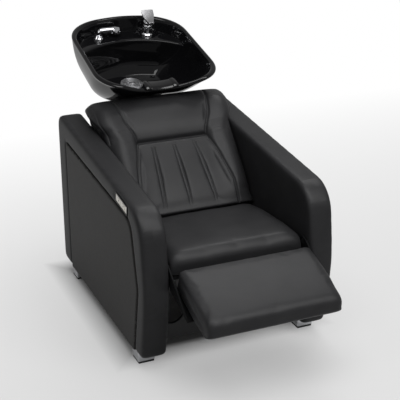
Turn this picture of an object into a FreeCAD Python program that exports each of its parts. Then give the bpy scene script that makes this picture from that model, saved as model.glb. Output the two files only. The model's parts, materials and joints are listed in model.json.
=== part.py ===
import FreeCAD, Part
import math
import os
import re
from types import SimpleNamespace

import Sketcher
from FreeCAD import Placement, Rotation, Vector

# Salon backwash unit: an upholstered armchair with a powered leg rest and a tilting ceramic basin.
# Frame: +Z up from the floor, -Y to the front (the sitter's feet), +X to the right seen from the front.
# Millimetres and degrees. Heights are above the floor, depths are counted from the arm front plane.

DIMENSIONS = [
    # Arms
    ("arm_front", -442.0, "arm front plane, counted from the origin under the middle of the unit"),
    ("unit_width", 700.0, "over both arms"),
    ("arm_thick", 92.0, "upholstered side arm, thickness"),
    ("arm_depth", 915.0, "arm front plane to arm rear edge"),
    ("arm_under", 51.0, "height of the arm's lower edge"),
    ("arm_toe", 17.0, "how far the lower front corner stands back"),
    ("arm_bulge", 27.0, "how far the front edge swells forward"),
    ("arm_bulge_high", 300.0, "height of that swelling"),
    ("arm_nose", 10.0, "front top corner, before rounding, behind the front plane"),
    ("arm_nose_high", 573.0, "height of that corner"),
    ("arm_rear_high", 664.0, "height of the rear top corner"),
    ("arm_nose_round", 115.0, "radius of the front top curve"),
    ("arm_front_round", 600.0, "radius of the swelling front edge"),
    ("arm_rear_round", 40.0, "radius of the rear top corner"),
    ("arm_low_round", 20.0, "radius of the lower corners"),
    ("arm_edge_round", 12.0, "padded edge of the arm faces"),
    # Inset panels in the outer faces of the arms
    ("inset_sink", 14.0, "depth of the recess, and thickness of the inset panel"),
    ("inset_gap", 3.0, "groove round the inset panel"),
    ("inset_toe", 93.0, "lower front corner of the recess"),
    ("inset_bulge", 46.0, "forward-most point of the recess"),
    ("inset_nose", 100.0, "front top corner of the recess"),
    ("inset_nose_high", 527.0, "height of that corner"),
    ("inset_rear", 815.0, "rear edge of the recess"),
    ("inset_rear_high", 576.0, "height of its rear top corner"),
    ("inset_nose_round", 60.0, "radius of the recess's front top corner"),
    ("inset_edge_round", 3.0, "soft edge of the inset panel"),
    # Feet
    ("foot_side", 60.0, "square chrome foot"),
    ("foot_inset", 12.0, "foot behind the arm's outer face"),
    ("foot_front", 85.0, "front face of the front feet"),
    ("foot_rear", 786.0, "front face of the rear feet"),
    ("foot_pad_high", 8.0, "rubber pad under a foot"),
    ("foot_pad_inset", 2.0, "pad smaller than the foot all round"),
    ("foot_edge", 2.0, "chamfer of a foot"),
    # Frame between the arms
    ("board_thick", 12.0, "plywood boards"),
    ("seat_under", 343.0, "underside of the seat cushion"),
    ("seat_board_front", 20.0, "front edge of the seat board"),
    ("seat_board_side", 9.0, "seat board to arm"),
    ("rail_deep", 30.0, "cross rail, front to back"),
    ("rail_high", 30.0, "cross rail, height"),
    ("rail_wall", 2.0, "wall of the cross rails"),
    ("front_rail_at", 150.0, "front face of the front cross rail"),
    ("seat_rail_at", 350.0, "front face of the rail under the rear of the seat"),
    ("kick_front", 126.0, "front face of the kickboard"),
    ("kick_gap", 0.5, "panels to arm"),
    ("kick_slot_side", 18.0, "linkage slot to arm"),
    ("kick_slot_wide", 90.0, "width of a linkage slot"),
    ("kick_slot_low", 106.0, "height of a slot's round bottom"),
    ("kick_window", 90.0, "width of the window for the push rod"),
    ("kick_window_low", 205.0, "height of the window's lower edge"),
    # Seat and back cushions
    ("seat_thick", 76.0, "seat cushion at the front"),
    ("seat_rear_thick", 50.0, "seat cushion where it meets the back"),
    ("seat_front", 8.0, "front face of the seat cushion"),
    ("seat_deep", 388.0, "rear face of the seat cushion"),
    ("seat_gap", 8.5, "seat cushion to arm, room for the hinge plates"),
    ("seat_crown", 12.0, "crown of the seat"),
    ("seat_round", 24.0, "how far its ends are drawn in"),
    ("seat_nose", 32.0, "height of its rounded front edge"),
    ("soft_gap", 0.3, "cushions to what carries them"),
    ("back_from_seat", 8.0, "foot of the back's face behind the seat cushion"),
    ("back_over_seat", 3.0, "foot of the back's face above the seat's rear edge"),
    ("back_angle", 46.0, "angle of the back above the floor"),
    ("back_long", 488.0, "length of the back cushion up its slope"),
    ("back_thick", 112.0, "thickness of the back cushion"),
    ("back_gap", 3.0, "back cushion to arm"),
    ("back_crown", 14.0, "crown of the lower back"),
    ("roll_crown", 22.0, "crown of the head roll"),
    ("roll_seam", 293.0, "seam under the head roll, up the slope"),
    ("back_round", 30.0, "how far the ends of the back are drawn in"),
    ("channel_pitch", 90.0, "distance between the sewn channels"),
    ("channel_spread", 9.0, "how far the channels spread towards the seat"),
    ("channel_radius", 10.0, "radius of a sewn channel"),
    ("channel_depth", 6.0, "depth of a sewn channel"),
    ("bolster_seam", 160.0, "side seam from the middle"),
    ("back_rail_low", 60.0, "lower back rail, up the slope"),
    ("back_rail_top", 158.0, "upper back rail, down from the back's top end"),
    # Leg rest
    ("rest_pivot", 30.0, "leg rest hinge behind the arm front plane"),
    ("pivot_over_seat", 37.0, "leg rest hinge above the seat cushion's underside"),
    ("rest_drop", 18.5, "slope of the raised leg rest below level"),
    ("rest_lead", 62.0, "hinge to the leg rest's rear edge"),
    ("rest_above", 37.0, "top of the leg rest above the hinge"),
    ("rest_long", 269.0, "length of the leg rest"),
    ("rest_thick", 72.0, "thickness of its cushion"),
    ("rest_side", 20.0, "leg rest to arm"),
    ("rest_gap", 1.0, "leg rest cushion to its board"),
    ("rest_round", 10.0, "how far its ends are drawn in"),
    ("rest_nose", 28.0, "radius of its front edge"),
    ("hinge_plate", 5.0, "thickness of the hinge plates"),
    ("hinge_to_arm", 1.0, "hinge plate to arm"),
    ("hinge_eye", 17.0, "radius of the hinge plate's eye"),
    ("corner_flat", 1.0, "flat left between two rounded corners of a plate"),
    ("pivot_radius", 8.0, "hinge stud"),
    ("pivot_sunk", 40.0, "hinge stud in the arm"),
    ("run_fit", 0.06, "radial play of a stud or pin in its hole"),
    ("hinge_flange", 56.0, "width of the flange under the leg rest board"),
    ("hinge_flange_long", 150.0, "length of that flange"),
    # Push rod drive of the leg rest
    ("rod_below", 130.0, "push rod axis below the hinge"),
    ("rest_swing", 70.0, "travel of the leg rest"),
    ("rod_travel", 176.0, "travel of the push rod"),
    ("rod_radius", 10.0, "push rod"),
    ("rod_long", 280.0, "length of the push rod behind its fork pin"),
    ("drive_tube", 17.0, "radius of the actuator's tube"),
    ("drive_tube_long", 200.0, "length of the actuator's tube"),
    ("drive_from_pin", 25.0, "tube's front end behind the retracted pin"),
    ("gear_long", 70.0, "gearbox length"),
    ("gear_wide", 76.0, "gearbox width and height"),
    ("motor_radius", 22.0, "motor"),
    ("motor_long", 130.0, "motor length"),
    ("pin_radius", 6.0, "cross pin of the push rod"),
    ("eye_gap", 1.5, "push rod eye to lever"),
    ("eye_wall", 8.0, "wall of the push rod's eye"),
    ("lever_apart", 17.0, "middle to the inner face of a slotted lever"),
    ("lever_thick", 6.0, "slotted lever plate"),
    ("lever_foot", 60.0, "length of a lever's foot"),
    ("slot_play", 4.5, "play of the pin in the levers' slots, for the bow of its path"),
    # Control on the left arm
    ("panel_at", 185.0, "middle of the control panel behind the front plane"),
    ("panel_high", 558.0, "its height"),
    ("panel_long", 116.0, "bezel length"),
    ("panel_tall", 34.0, "bezel height"),
    ("panel_deep", 10.0, "bezel depth, sunk in the arm"),
    ("panel_slope", 7.0, "slope of the panel, as the arm's top edge"),
    ("bezel_rim", 3.0, "rim of the bezel"),
    ("plate_sink", 2.0, "silver plate below the arm's face"),
    ("plate_thick", 3.0, "thickness of the silver plate"),
    ("button_long", 26.0, "button length"),
    ("button_tall", 16.0, "button height"),
    ("button_apart", 44.0, "distance between the two buttons"),
    ("button_travel", 1.5, "button travel"),
    ("button_gap", 0.4, "button to plate"),
    # Rear panel, column and tilt head
    ("rear_panel_at", 783.0, "front face of the rear panel"),
    ("rear_panel_high", 540.0, "top edge of the rear panel"),
    ("tie_rail_at", 885.0, "front face of the rear tie rail"),
    ("tie_rail_high", 330.0, "underside of the rear tie rail"),
    ("column_wide", 230.0, "column width"),
    ("column_deep", 185.0, "column depth"),
    ("column_high", 585.0, "column height over the floor"),
    ("column_wall", 3.0, "sheet steel of the column"),
    ("tail_slot_wide", 72.0, "slot in the column's top for the tail pipe"),
    ("base_wide", 300.0, "base plate width"),
    ("base_deep", 240.0, "base plate depth"),
    ("base_thick", 8.0, "base plate thickness"),
    ("bolt_wide", 260.0, "anchor holes, across"),
    ("bolt_deep", 200.0, "anchor holes, front to back"),
    ("bolt_radius", 6.0, "anchor hole radius"),
    ("cover_gap", 1.0, "rear cover to column sides"),
    ("tilt_behind", 68.0, "tilt pin behind the column's front"),
    ("tilt_above", 36.0, "tilt pin above the column"),
    ("ear_out", 84.0, "outer face of a fixed ear, from the middle"),
    ("ear_thick", 8.0, "tilt ears"),
    ("ear_gap", 1.0, "between fixed and moving ears"),
    ("ear_half", 24.0, "half depth of an ear"),
    ("tilt_pin", 8.0, "tilt pin radius"),
    # Basin, in its own tilted frame: along its rim from front to rear, and down from the rim
    ("basin_on_back", 103.0, "front edge of the rim ahead of the back's top end"),
    ("basin_over_back", 62.0, "front edge of the rim above the back's top end"),
    ("basin_lean", 15.0, "slope of the rim, rising to the rear"),
    ("basin_long", 550.0, "rim, front to rear"),
    ("basin_half_front", 246.0, "half width at the front"),
    ("basin_half_rear", 236.0, "half width at the rear"),
    ("basin_round_front", 115.0, "front corners"),
    ("basin_round_rear", 135.0, "rear corners"),
    ("basin_depth", 218.0, "outer depth"),
    ("basin_wall", 15.0, "wall of the bowl"),
    ("rim_wide", 18.0, "width of the rim"),
    ("deck_sink", 52.0, "tap deck below the rim"),
    ("deck_wide", 100.0, "tap deck, from the rear of the rim to the middle of its front edge"),
    ("deck_arc", 330.0, "radius of the deck's front edge"),
    ("deck_thick", 14.0, "thickness of the deck"),
    ("neck_radius", 310.0, "radius of the neck notch"),
    ("neck_sink", 50.0, "depth of the neck notch"),
    ("neck_pad", 12.0, "thickness of the neck rest"),
    ("neck_long", 46.0, "neck rest, front to rear"),
    ("neck_half", 62.0, "half width of the neck rest"),
    ("drain_from_deck", 92.0, "drain in front of the deck's edge"),
    ("drain_hole", 23.0, "radius of the drain hole"),
    ("drain_flange", 46.0, "radius of the drain flange"),
    ("drain_tube", 20.0, "outer radius of the tail pipe"),
    ("drain_tail", 150.0, "tail pipe below the bowl"),
    ("drain_pipe_wall", 2.0, "wall of the tail pipe"),
    ("drain_nut", 27.0, "radius of the nut under the bowl"),
    ("drain_lip", 3.0, "height of the drain flange, and width of its rings"),
    ("drain_dish", 1.0, "thickness of the strainer between its rings"),
    ("service_low", 142.0, "underside of the room for the back nuts, below the rim"),
    ("bracket_thick", 6.0, "bracket plate under the bowl"),
    # Fittings on the deck
    ("tap_apart", 105.0, "mixer and hand shower from the middle"),
    ("tap_back", 58.0, "fittings in front of the rear of the rim"),
    ("tap_hole", 16.0, "radius of their holes in the deck"),
    ("mixer_radius", 21.0, "mixer body"),
    ("mixer_high", 42.0, "mixer body over the deck"),
    ("mixer_taper", 2.0, "how much the body narrows to its top"),
    ("rose_wide", 5.0, "foot of a fitting wider than its body"),
    ("rose_high", 4.0, "height of that foot"),
    ("cap_edge", 5.0, "sloped edge of the mixer cap"),
    ("cap_high", 16.0, "mixer cap"),
    ("lever_long", 62.0, "mixer lever"),
    ("lever_wide", 44.0, "mixer lever at its rear"),
    ("lever_tip", 18.0, "mixer lever at its tip"),
    ("lever_high", 8.0, "thickness of the mixer lever"),
    ("lever_round", 7.0, "its rounded corners"),
    ("shank_long", 40.0, "threaded shank under the deck"),
    ("shank_radius", 14.0, "shank of a fitting"),
    ("nut_high", 8.0, "back nut"),
    ("nut_radius", 21.0, "back nut"),
    ("socket_radius", 22.0, "hand shower socket"),
    ("socket_high", 14.0, "hand shower socket over the deck"),
    ("socket_bore", 10.0, "bore of the socket"),
    ("spray_stem", 9.6, "stem of the hand shower"),
    ("spray_straight", 5.0, "straight stem over the socket"),
    ("spray_bend", 24.0, "radius of the neck's bend"),
    ("spray_reach", 74.0, "hand shower head from its stem"),
    ("spray_head", 21.0, "hand shower head radius"),
    ("spray_flare", 6.0, "how much the head widens"),
]
ALIASES = {alias for alias, value, note in DIMENSIONS}

doc = FreeCAD.newDocument("backwash_unit")
sheet = doc.addObject("Spreadsheet::Sheet", "dims")
for row, (alias, value, note) in enumerate(DIMENSIONS, 1):
    sheet.set(f"A{row}", note)
    sheet.set(f"B{row}", str(value))
    sheet.setAlias(f"B{row}", alias)
doc.recompute()
v = SimpleNamespace(**{alias: float(sheet.get(alias)) for alias in ALIASES})

PARTS = []


# Tools for making sub-parts

def cells(text):
    """Point the names in a formula at their cells."""
    return re.sub(r"[a-z_][a-z0-9_]*",
                  lambda word: ("dims." if word.group() in ALIASES else "") + word.group(), text)


def bind(obj, **sizes):
    """Tie an object's properties to formulas of sheet names; __ in a property name stands for a dot."""
    for prop, text in sizes.items():
        obj.setExpression(prop.replace("__", "."), cells(str(text)))
    return obj


def place(obj, x="0", y="0", z="0", axis=None, angle="0"):
    """Put an object at a bound place, turned by a bound angle about an axis."""
    if axis is not None:
        obj.Placement = Placement(Vector(), Rotation(Vector(*axis), 1))
        bind(obj, Placement__Rotation__Angle=f"({angle}) * 1 deg")
    return bind(obj, Placement__Base__x=x, Placement__Base__y=y, Placement__Base__z=z)


def keep(obj, label):
    """Name an object as a sub-part of the unit."""
    obj.Label = label
    PARTS.append(obj)
    return obj


def box(name, wide, deep, high, x="0", y="0", z="0"):
    """A bound box: its middle in X, its front in Y and its underside in Z are given."""
    obj = doc.addObject("Part::Box", name)
    bind(obj, Length=wide, Width=deep, Height=high)
    return place(obj, f"{x} - ({wide}) / 2", y, z)


def rod(name, radius, length, x="0", y="0", z="0", axis=None, angle="90"):
    """A bound cylinder, along Z unless it is turned about an axis."""
    obj = doc.addObject("Part::Cylinder", name)
    bind(obj, Radius=radius, Height=length)
    return place(obj, x, y, z, axis, angle)


def cut(name, base, *tools):
    """Cut tools out of a base."""
    for number, tool in enumerate(tools):
        obj = doc.addObject("Part::Cut", f"{name}_cut{number}")
        obj.Base = base
        obj.Tool = tool
        base = obj
    return base


def fuse(name, *shapes):
    """Join shapes that make one solid."""
    obj = doc.addObject("Part::MultiFuse", name)
    obj.Shapes = list(shapes)
    return obj


def plane(body, role):
    """One of a body's own origin planes."""
    return next(feature for feature in body.Origin.OriginFeatures if feature.Role == role)


def outline(body, role, corners):
    """A closed sketch of straight edges whose corners are bound pairs of formulas."""
    sketch = body.newObject("Sketcher::SketchObject", f"{body.Name}_sketch")
    sketch.AttachmentSupport = [(plane(body, role), "")]
    sketch.MapMode = "FlatFace"
    count = len(corners)
    ring = [Vector(math.cos(k * math.tau / count), math.sin(k * math.tau / count), 0) for k in range(count)]
    for k in range(count):
        sketch.addGeometry(Part.LineSegment(ring[k], ring[(k + 1) % count]), False)
    for k in range(count):
        sketch.addConstraint(Sketcher.Constraint("Coincident", k, 2, (k + 1) % count, 1))
    for k, (across, up) in enumerate(corners):
        for kind, text, size in (("DistanceX", across, ring[k].x), ("DistanceY", up, ring[k].y)):
            number = sketch.addConstraint(Sketcher.Constraint(kind, -1, 1, k, 1, size))
            sketch.setExpression(f"Constraints[{number}]", cells(str(text)))
    doc.recompute()
    return sketch


def padded(name, corners, length, rounds=None, role="YZ_Plane"):
    """A body padded from an outline; rounds maps a corner's number to its bound radius."""
    body = doc.addObject("PartDesign::Body", name)
    sketch = outline(body, role, corners)
    pad = body.newObject("PartDesign::Pad", f"{name}_pad")
    pad.Profile = sketch
    bind(pad, Length=length)
    doc.recompute()
    for corner, radius in (rounds or {}).items():
        start = sketch.Placement.multVec(sketch.Geometry[corner].StartPoint)
        across = sketch.Placement.Rotation.multVec(Vector(0, 0, 1))
        feature = body.Tip
        edges = []
        for number, edge in enumerate(feature.Shape.Edges, 1):
            if len(edge.Vertexes) != 2 or edge.Curve.TypeId != "Part::GeomLine":
                continue
            run = edge.Vertexes[1].Point - edge.Vertexes[0].Point
            offset = edge.Vertexes[0].Point - start
            if run.cross(across).Length < 1e-6 and offset.cross(across).Length < 1e-6:
                edges.append(f"Edge{number}")
        fillet = body.newObject("PartDesign::Fillet", f"{name}_round{corner}")
        fillet.Base = (feature, edges)
        bind(fillet, Radius=radius)
        doc.recompute()
    return body


def soften(body, radius, sides, axis=0):
    """Round all edges of the flat faces that look along an axis; sides are the signs to round."""
    feature = body.Tip
    faces = []
    for number, face in enumerate(feature.Shape.Faces, 1):
        if face.Surface.TypeId != "Part::GeomPlane":
            continue
        normal = face.normalAt(0, 0)
        if abs(abs(normal[axis]) - 1) < 1e-6 and math.copysign(1, normal[axis]) in sides:
            faces.append(f"Face{number}")
    fillet = body.newObject("PartDesign::Fillet", f"{body.Name}_soft")
    fillet.Base = (feature, faces)
    bind(fillet, Radius=radius)
    doc.recompute()
    return body


def turned(name, corners):
    """A body turned about Z from an outline of radius and height pairs."""
    body = doc.addObject("PartDesign::Body", name)
    sketch = outline(body, "XZ_Plane", corners)
    spin = body.newObject("PartDesign::Revolution", f"{name}_turn")
    spin.Profile = sketch
    spin.ReferenceAxis = (sketch, ["V_Axis"])
    spin.Angle = 360
    doc.recompute()
    return body


def shaped(name, shape):
    """A feature whose shape is made from the sheet's values by Part's own functions."""
    obj = doc.addObject("Part::Feature", name)
    obj.Shape = shape
    return obj


def wire(*pieces):
    """A closed wire of lines (two points) and arcs (three points)."""
    edges = []
    for points in pieces:
        made = Part.LineSegment(*points) if len(points) == 2 else Part.Arc(*points)
        edges.append(made.toShape())
    return Part.Wire(edges)


def seam(start, end, radius):
    """A round tool that presses a sewn line into a cushion, with a round nose at both ends."""
    along = end - start
    tool = Part.makeCylinder(radius, along.Length, start, along)
    return tool.fuse([Part.makeSphere(radius, start), Part.makeSphere(radius, end)])


def stations(half, draw):
    """Places across a cushion, each with how far its section is drawn in there; they spread out inwards."""
    left = [(-half, draw), (-half + draw, draw / 4)]
    reach = 3 * draw
    while reach < half:
        left.append((-half + reach, 0))
        reach = 2 * reach + draw
    return left + [(0, 0)] + [(-x, inward) for x, inward in reversed(left)]


HALF = "unit_width / 2"
INSIDE = "(unit_width / 2 - arm_thick)"
SPAN = "(unit_width - 2 * arm_thick)"
PIVOT_HIGH = "(seat_under + pivot_over_seat)"
BACK_FOOT = "(seat_deep + back_from_seat)"
BACK_FOOT_HIGH = "(seat_under + seat_rear_thick + back_over_seat)"
BASIN_FRONT = f"({BACK_FOOT} + back_long * cos(back_angle * 1 deg) - basin_on_back)"
BASIN_HIGH = f"({BACK_FOOT_HIGH} + back_long * sin(back_angle * 1 deg) + basin_over_back)"
DECK_EDGE = "(basin_long - deck_wide)"
DRAIN_AT = "(basin_long - deck_wide - drain_from_deck)"
TAP_AT = "(basin_long - tap_back)"
inside = v.unit_width / 2 - v.arm_thick
deck_edge = v.basin_long - v.deck_wide
drain_at = deck_edge - v.drain_from_deck
tap_at = v.basin_long - v.tap_back


# Side arms with their inset panels

ARM = [
    ("arm_toe", "arm_under"),
    ("arm_depth", "arm_under"),
    ("arm_depth", "arm_rear_high"),
    ("arm_nose", "arm_nose_high"),
    ("-arm_bulge", "arm_bulge_high"),
]
ARM_ROUNDS = {
    0: "arm_low_round",
    1: "arm_low_round",
    2: "arm_rear_round",
    3: "arm_nose_round",
    4: "arm_front_round",
}


def inset_outline(gap):
    """The recess in an arm's outer face, or the panel in it where gap is the groove."""
    return [
        (f"inset_toe + {gap}", "arm_under"),
        (f"inset_rear - {gap}", "arm_under"),
        (f"inset_rear - {gap}", f"inset_rear_high - {gap}"),
        (f"inset_nose + {gap}", f"inset_nose_high - {gap}"),
        (f"inset_bulge + {gap}", "arm_bulge_high"),
    ]


def arm(side, sign):
    """One upholstered arm, its recess cut into the outer face, and the panel that fills the recess."""
    outer = f"{HALF}" if sign > 0 else f"-{HALF}"
    blank = padded(f"{side}_arm_blank", ARM, "arm_thick", ARM_ROUNDS)
    soften(blank, "arm_edge_round", (1, -1))
    place(blank, INSIDE if sign > 0 else outer, "arm_front")
    recess = padded(f"{side}_recess", inset_outline("0"), "inset_sink", {3: "inset_nose_round"})
    place(recess, f"{HALF} - inset_sink" if sign > 0 else outer, "arm_front")
    tools = [recess]
    stud_hole = rod(f"{side}_stud_hole", "pivot_radius", "pivot_sunk + 2 * hinge_to_arm",
                    f"{sign} * ({INSIDE} - hinge_to_arm)", "arm_front + rest_pivot", PIVOT_HIGH,
                    (0, sign, 0))
    tools.append(stud_hole)
    if sign < 0:
        panel_hole = doc.addObject("Part::Box", "panel_hole")
        bind(panel_hole, Length="panel_deep", Width="panel_long", Height="panel_tall")
        tools.append(control_place(panel_hole, "0", "0", "0"))
    keep(cut(f"{side}_arm", blank, *tools), f"{side}_arm")
    panel = padded(f"{side}_arm_inset", inset_outline("inset_gap"), "inset_sink", {3: "inset_nose_round"})
    soften(panel, "inset_edge_round", (sign,))
    place(panel, f"{HALF} - inset_sink" if sign > 0 else outer, "arm_front")
    keep(panel, f"{side}_arm_inset")
    stud = rod(f"{side}_hinge_stud", "pivot_radius", "pivot_sunk + hinge_to_arm + hinge_plate",
               f"{sign} * ({INSIDE} - hinge_to_arm - hinge_plate)", "arm_front + rest_pivot",
               PIVOT_HIGH, (0, sign, 0))
    keep(stud, f"{side}_hinge_stud")


def control_place(obj, along, up, out):
    """Place a box of the control panel: along and up from the panel's corner, out from the arm's face."""
    slope = "(panel_slope * 1 deg)"
    corner = f"({along} - panel_long / 2)"
    rise = f"({up} - panel_tall / 2)"
    return place(obj, f"-{HALF} - ({out})",
                 f"arm_front + panel_at + {corner} * cos({slope}) - {rise} * sin({slope})",
                 f"panel_high + {corner} * sin({slope}) + {rise} * cos({slope})", (1, 0, 0), "panel_slope")


arm("left", -1)
arm("right", 1)


# Chrome feet on rubber pads

for row_name, depth in (("front", "foot_front"), ("rear", "foot_rear")):
    for side, sign in (("left", -1), ("right", 1)):
        middle = f"{sign} * ({HALF} - foot_inset - foot_side / 2)"
        block = box(f"{row_name}_{side}_block", "foot_side", "foot_side", "arm_under - foot_pad_high",
                    middle, f"arm_front + {depth}", "foot_pad_high")
        doc.recompute()
        foot = doc.addObject("Part::Chamfer", f"{row_name}_{side}_foot")
        foot.Base = block
        foot.Edges = [(number, v.foot_edge, v.foot_edge) for number, edge in enumerate(block.Shape.Edges, 1)
                      if abs(edge.Vertexes[0].Z - edge.Vertexes[1].Z) > v.foot_edge]
        keep(foot, f"{row_name}_{side}_foot")
        pad_side = "foot_side - 2 * foot_pad_inset"
        pad = box(f"{row_name}_{side}_foot_pad", pad_side, pad_side, "foot_pad_high",
                  middle, f"arm_front + {depth} + foot_pad_inset")
        keep(pad, f"{row_name}_{side}_foot_pad")


# Cross rails, boards and panels between the arms

def rail(label, depth, height):
    """A square tube from arm to arm."""
    tube = box(f"{label}_tube", SPAN, "rail_deep", "rail_high", "0", depth, height)
    bore = box(f"{label}_bore", f"{SPAN} + 2 * rail_wall", "rail_deep - 2 * rail_wall",
               "rail_high - 2 * rail_wall", "0", f"{depth} + rail_wall", f"{height} + rail_wall")
    return keep(cut(label, tube, bore), label)


seat_base = "seat_under - board_thick"
rail("front_cross_rail", "arm_front + front_rail_at", f"{seat_base} - rail_high")
rail("seat_cross_rail", "arm_front + seat_rail_at", f"{seat_base} - rail_high")
rail("rear_tie_rail", "arm_front + tie_rail_at", "tie_rail_high")

keep(box("seat_board", f"{SPAN} - 2 * seat_board_side", "seat_deep - seat_board_front", "board_thick",
         "0", "arm_front + seat_board_front", seat_base), "seat_board")

kick = box("kick_panel", f"{SPAN} - 2 * kick_gap", "board_thick", f"{seat_base} - arm_under",
           "0", "arm_front + kick_front", "arm_under")
kick_tools = []
for side, sign in (("left", -1), ("right", 1)):
    middle = f"{sign} * ({INSIDE} - kick_slot_side - kick_slot_wide / 2)"
    low = "kick_slot_low + kick_slot_wide / 2"
    kick_tools.append(box(f"{side}_kick_slot", "kick_slot_wide", "3 * board_thick",
                          f"{seat_base} - arm_under", middle, "arm_front + kick_front - board_thick", low))
    kick_tools.append(rod(f"{side}_kick_slot_end", "kick_slot_wide / 2", "3 * board_thick",
                          middle, "arm_front + kick_front + 2 * board_thick", low, (1, 0, 0)))
kick_tools.append(box("kick_rod_window", "kick_window", "3 * board_thick", f"{seat_base} - arm_under",
                      "0", "arm_front + kick_front - board_thick", "kick_window_low"))
keep(cut("kickboard", kick, *kick_tools), "kickboard")

keep(box("rear_panel", f"{SPAN} - 2 * kick_gap", "board_thick", "rear_panel_high - arm_under",
         "0", "arm_front + rear_panel_at", "arm_under"), "rear_panel")


# Seat cushion: a crowned loft with a soft front edge

def seat_profile(x, drop, draw):
    """Side profile of the seat at a distance from its middle."""
    low = v.seat_under + v.soft_gap
    front = v.arm_front + v.seat_front + draw
    rear = v.arm_front + v.seat_deep - draw / 2
    top = v.seat_under + v.seat_thick - drop
    top_rear = v.seat_under + v.seat_rear_thick - drop
    nose = v.seat_nose
    a = Vector(x, front + nose / 3, low)
    b = Vector(x, rear, low)
    c = Vector(x, rear, top_rear)
    e = Vector(x, front + nose, top)
    crown = Vector(x, (c.y + e.y) / 2, (c.z + e.z) / 2 + v.seat_crown * (1 - drop / (2 * v.seat_round)))
    bulge = Vector(x, front, (low + top) / 2 + nose / 3)
    return wire((a, b), (b, c), (c, crown, e), (e, bulge, a))


seat_wires = [seat_profile(x, drop, drop / 2) for x, drop in stations(inside - v.seat_gap, v.seat_round)]
keep(shaped("seat_cushion", Part.makeLoft(seat_wires, True, False)), "seat_cushion")


# Back cushion: head roll over a channelled lower panel, with side bolsters

def back_profile(x, drop, draw):
    """Side profile of the back, lying flat: its length along Y, its face up."""
    rear = -v.back_thick
    foot = Vector(x, draw, rear)
    top_rear = Vector(x, v.back_long - v.back_round - draw, rear)
    top = Vector(x, v.back_long - draw, -v.back_thick / 2)
    top_front = Vector(x, v.back_long - v.back_round - draw, -drop)
    roll = Vector(x, (v.back_long - v.back_round + v.roll_seam) / 2, v.roll_crown - drop)
    valley = Vector(x, v.roll_seam, -drop)
    lower = Vector(x, v.roll_seam / 2, v.back_crown - drop)
    front = Vector(x, draw, -drop)
    return wire((foot, top_rear), (top_rear, top, top_front), (top_front, roll, valley),
                (valley, lower, front), (front, foot))


back_wires = [back_profile(x, drop, drop / 4) for x, drop in stations(inside - v.back_gap, v.back_round)]
back_loft = Part.makeLoft(back_wires, True, False)
seam_lift = v.back_crown + v.channel_radius - v.channel_depth
roll_lift = v.roll_crown + v.channel_radius - v.channel_depth
back_seams = []
for k in (-1, 0, 1):
    back_seams.append(seam(Vector(k * (v.channel_pitch + v.channel_spread), v.back_round, seam_lift),
                           Vector(k * (v.channel_pitch - v.channel_spread), v.roll_seam - v.back_round, seam_lift),
                           v.channel_radius))
for k in (-1, 1):
    waist = k * (v.bolster_seam - v.back_round)
    back_seams.append(seam(Vector(k * (v.bolster_seam + v.back_round), 0, seam_lift),
                           Vector(waist, v.roll_seam, seam_lift), v.channel_radius))
    back_seams.append(seam(Vector(waist, v.roll_seam, roll_lift),
                           Vector(k * v.bolster_seam, v.back_long, roll_lift), v.channel_radius))
back_cushion = keep(shaped("back_cushion", back_loft.cut(back_seams)), "back_cushion")


def on_back(obj, along="0", out="0", x="0"):
    """Place an object made lying flat: along the back's slope, and out from its face."""
    lean = "(back_angle * 1 deg)"
    return place(obj, x, f"arm_front + {BACK_FOOT} + ({along}) * cos({lean}) - ({out}) * sin({lean})",
                 f"{BACK_FOOT_HIGH} + ({along}) * sin({lean}) + ({out}) * cos({lean})", (1, 0, 0), "back_angle")


on_back(back_cushion)

back_board = doc.addObject("Part::Box", "back_board")
bind(back_board, Length=f"{SPAN} - 2 * seat_board_side", Width="back_long - back_round", Height="board_thick")
on_back(back_board, "0", "-back_thick - soft_gap - board_thick", f"-{INSIDE} + seat_board_side")
keep(back_board, "back_board")

for label, along in (("lower_back_rail", "back_rail_low"), ("upper_back_rail", "back_long - back_rail_top")):
    tube = doc.addObject("Part::Box", f"{label}_tube")
    bind(tube, Length=SPAN, Width="rail_deep", Height="rail_high")
    bore = doc.addObject("Part::Box", f"{label}_bore")
    bind(bore, Length=f"{SPAN} + 2 * rail_wall", Width="rail_deep - 2 * rail_wall",
         Height="rail_high - 2 * rail_wall")
    behind = "-back_thick - soft_gap - board_thick - rail_high"
    on_back(tube, along, behind, f"-{INSIDE}")
    on_back(bore, f"{along} + rail_wall", f"{behind} + rail_wall", f"-{INSIDE} - rail_wall")
    keep(cut(label, tube, bore), label)


# Leg rest, made level with its hinge at the origin, then dropped to its slope

def on_rest(obj, x="0"):
    """Hang an object on the leg rest's hinge."""
    return place(obj, x, "arm_front + rest_pivot", PIVOT_HIGH, (1, 0, 0), "rest_drop")


rest_under = v.rest_above - v.rest_thick
rest_half = inside - v.rest_side
REST_HALF = f"({INSIDE} - rest_side)"


def rest_profile(x, draw):
    """Side profile of the leg rest cushion with its round front edge."""
    rear = -v.rest_lead - draw
    front = -v.rest_lead - v.rest_long + draw
    top = v.rest_above - draw
    low = rest_under + v.rest_gap
    back_low = Vector(x, rear, low)
    back_top = Vector(x, rear, top)
    edge_top = Vector(x, front + v.rest_nose, top)
    edge = Vector(x, front, (top + low) / 2)
    edge_low = Vector(x, front + v.rest_nose, low)
    crown = Vector(x, (rear + edge_top.y) / 2, top + v.rest_round / 2)
    return wire((back_low, back_top), (back_top, crown, edge_top), (edge_top, edge, edge_low),
                (edge_low, back_low))


rest_wires = [rest_profile(x, draw) for x, draw in stations(rest_half, v.rest_round)]
keep(on_rest(shaped("leg_rest_cushion", Part.makeLoft(rest_wires, True, False))), "leg_rest_cushion")

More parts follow.
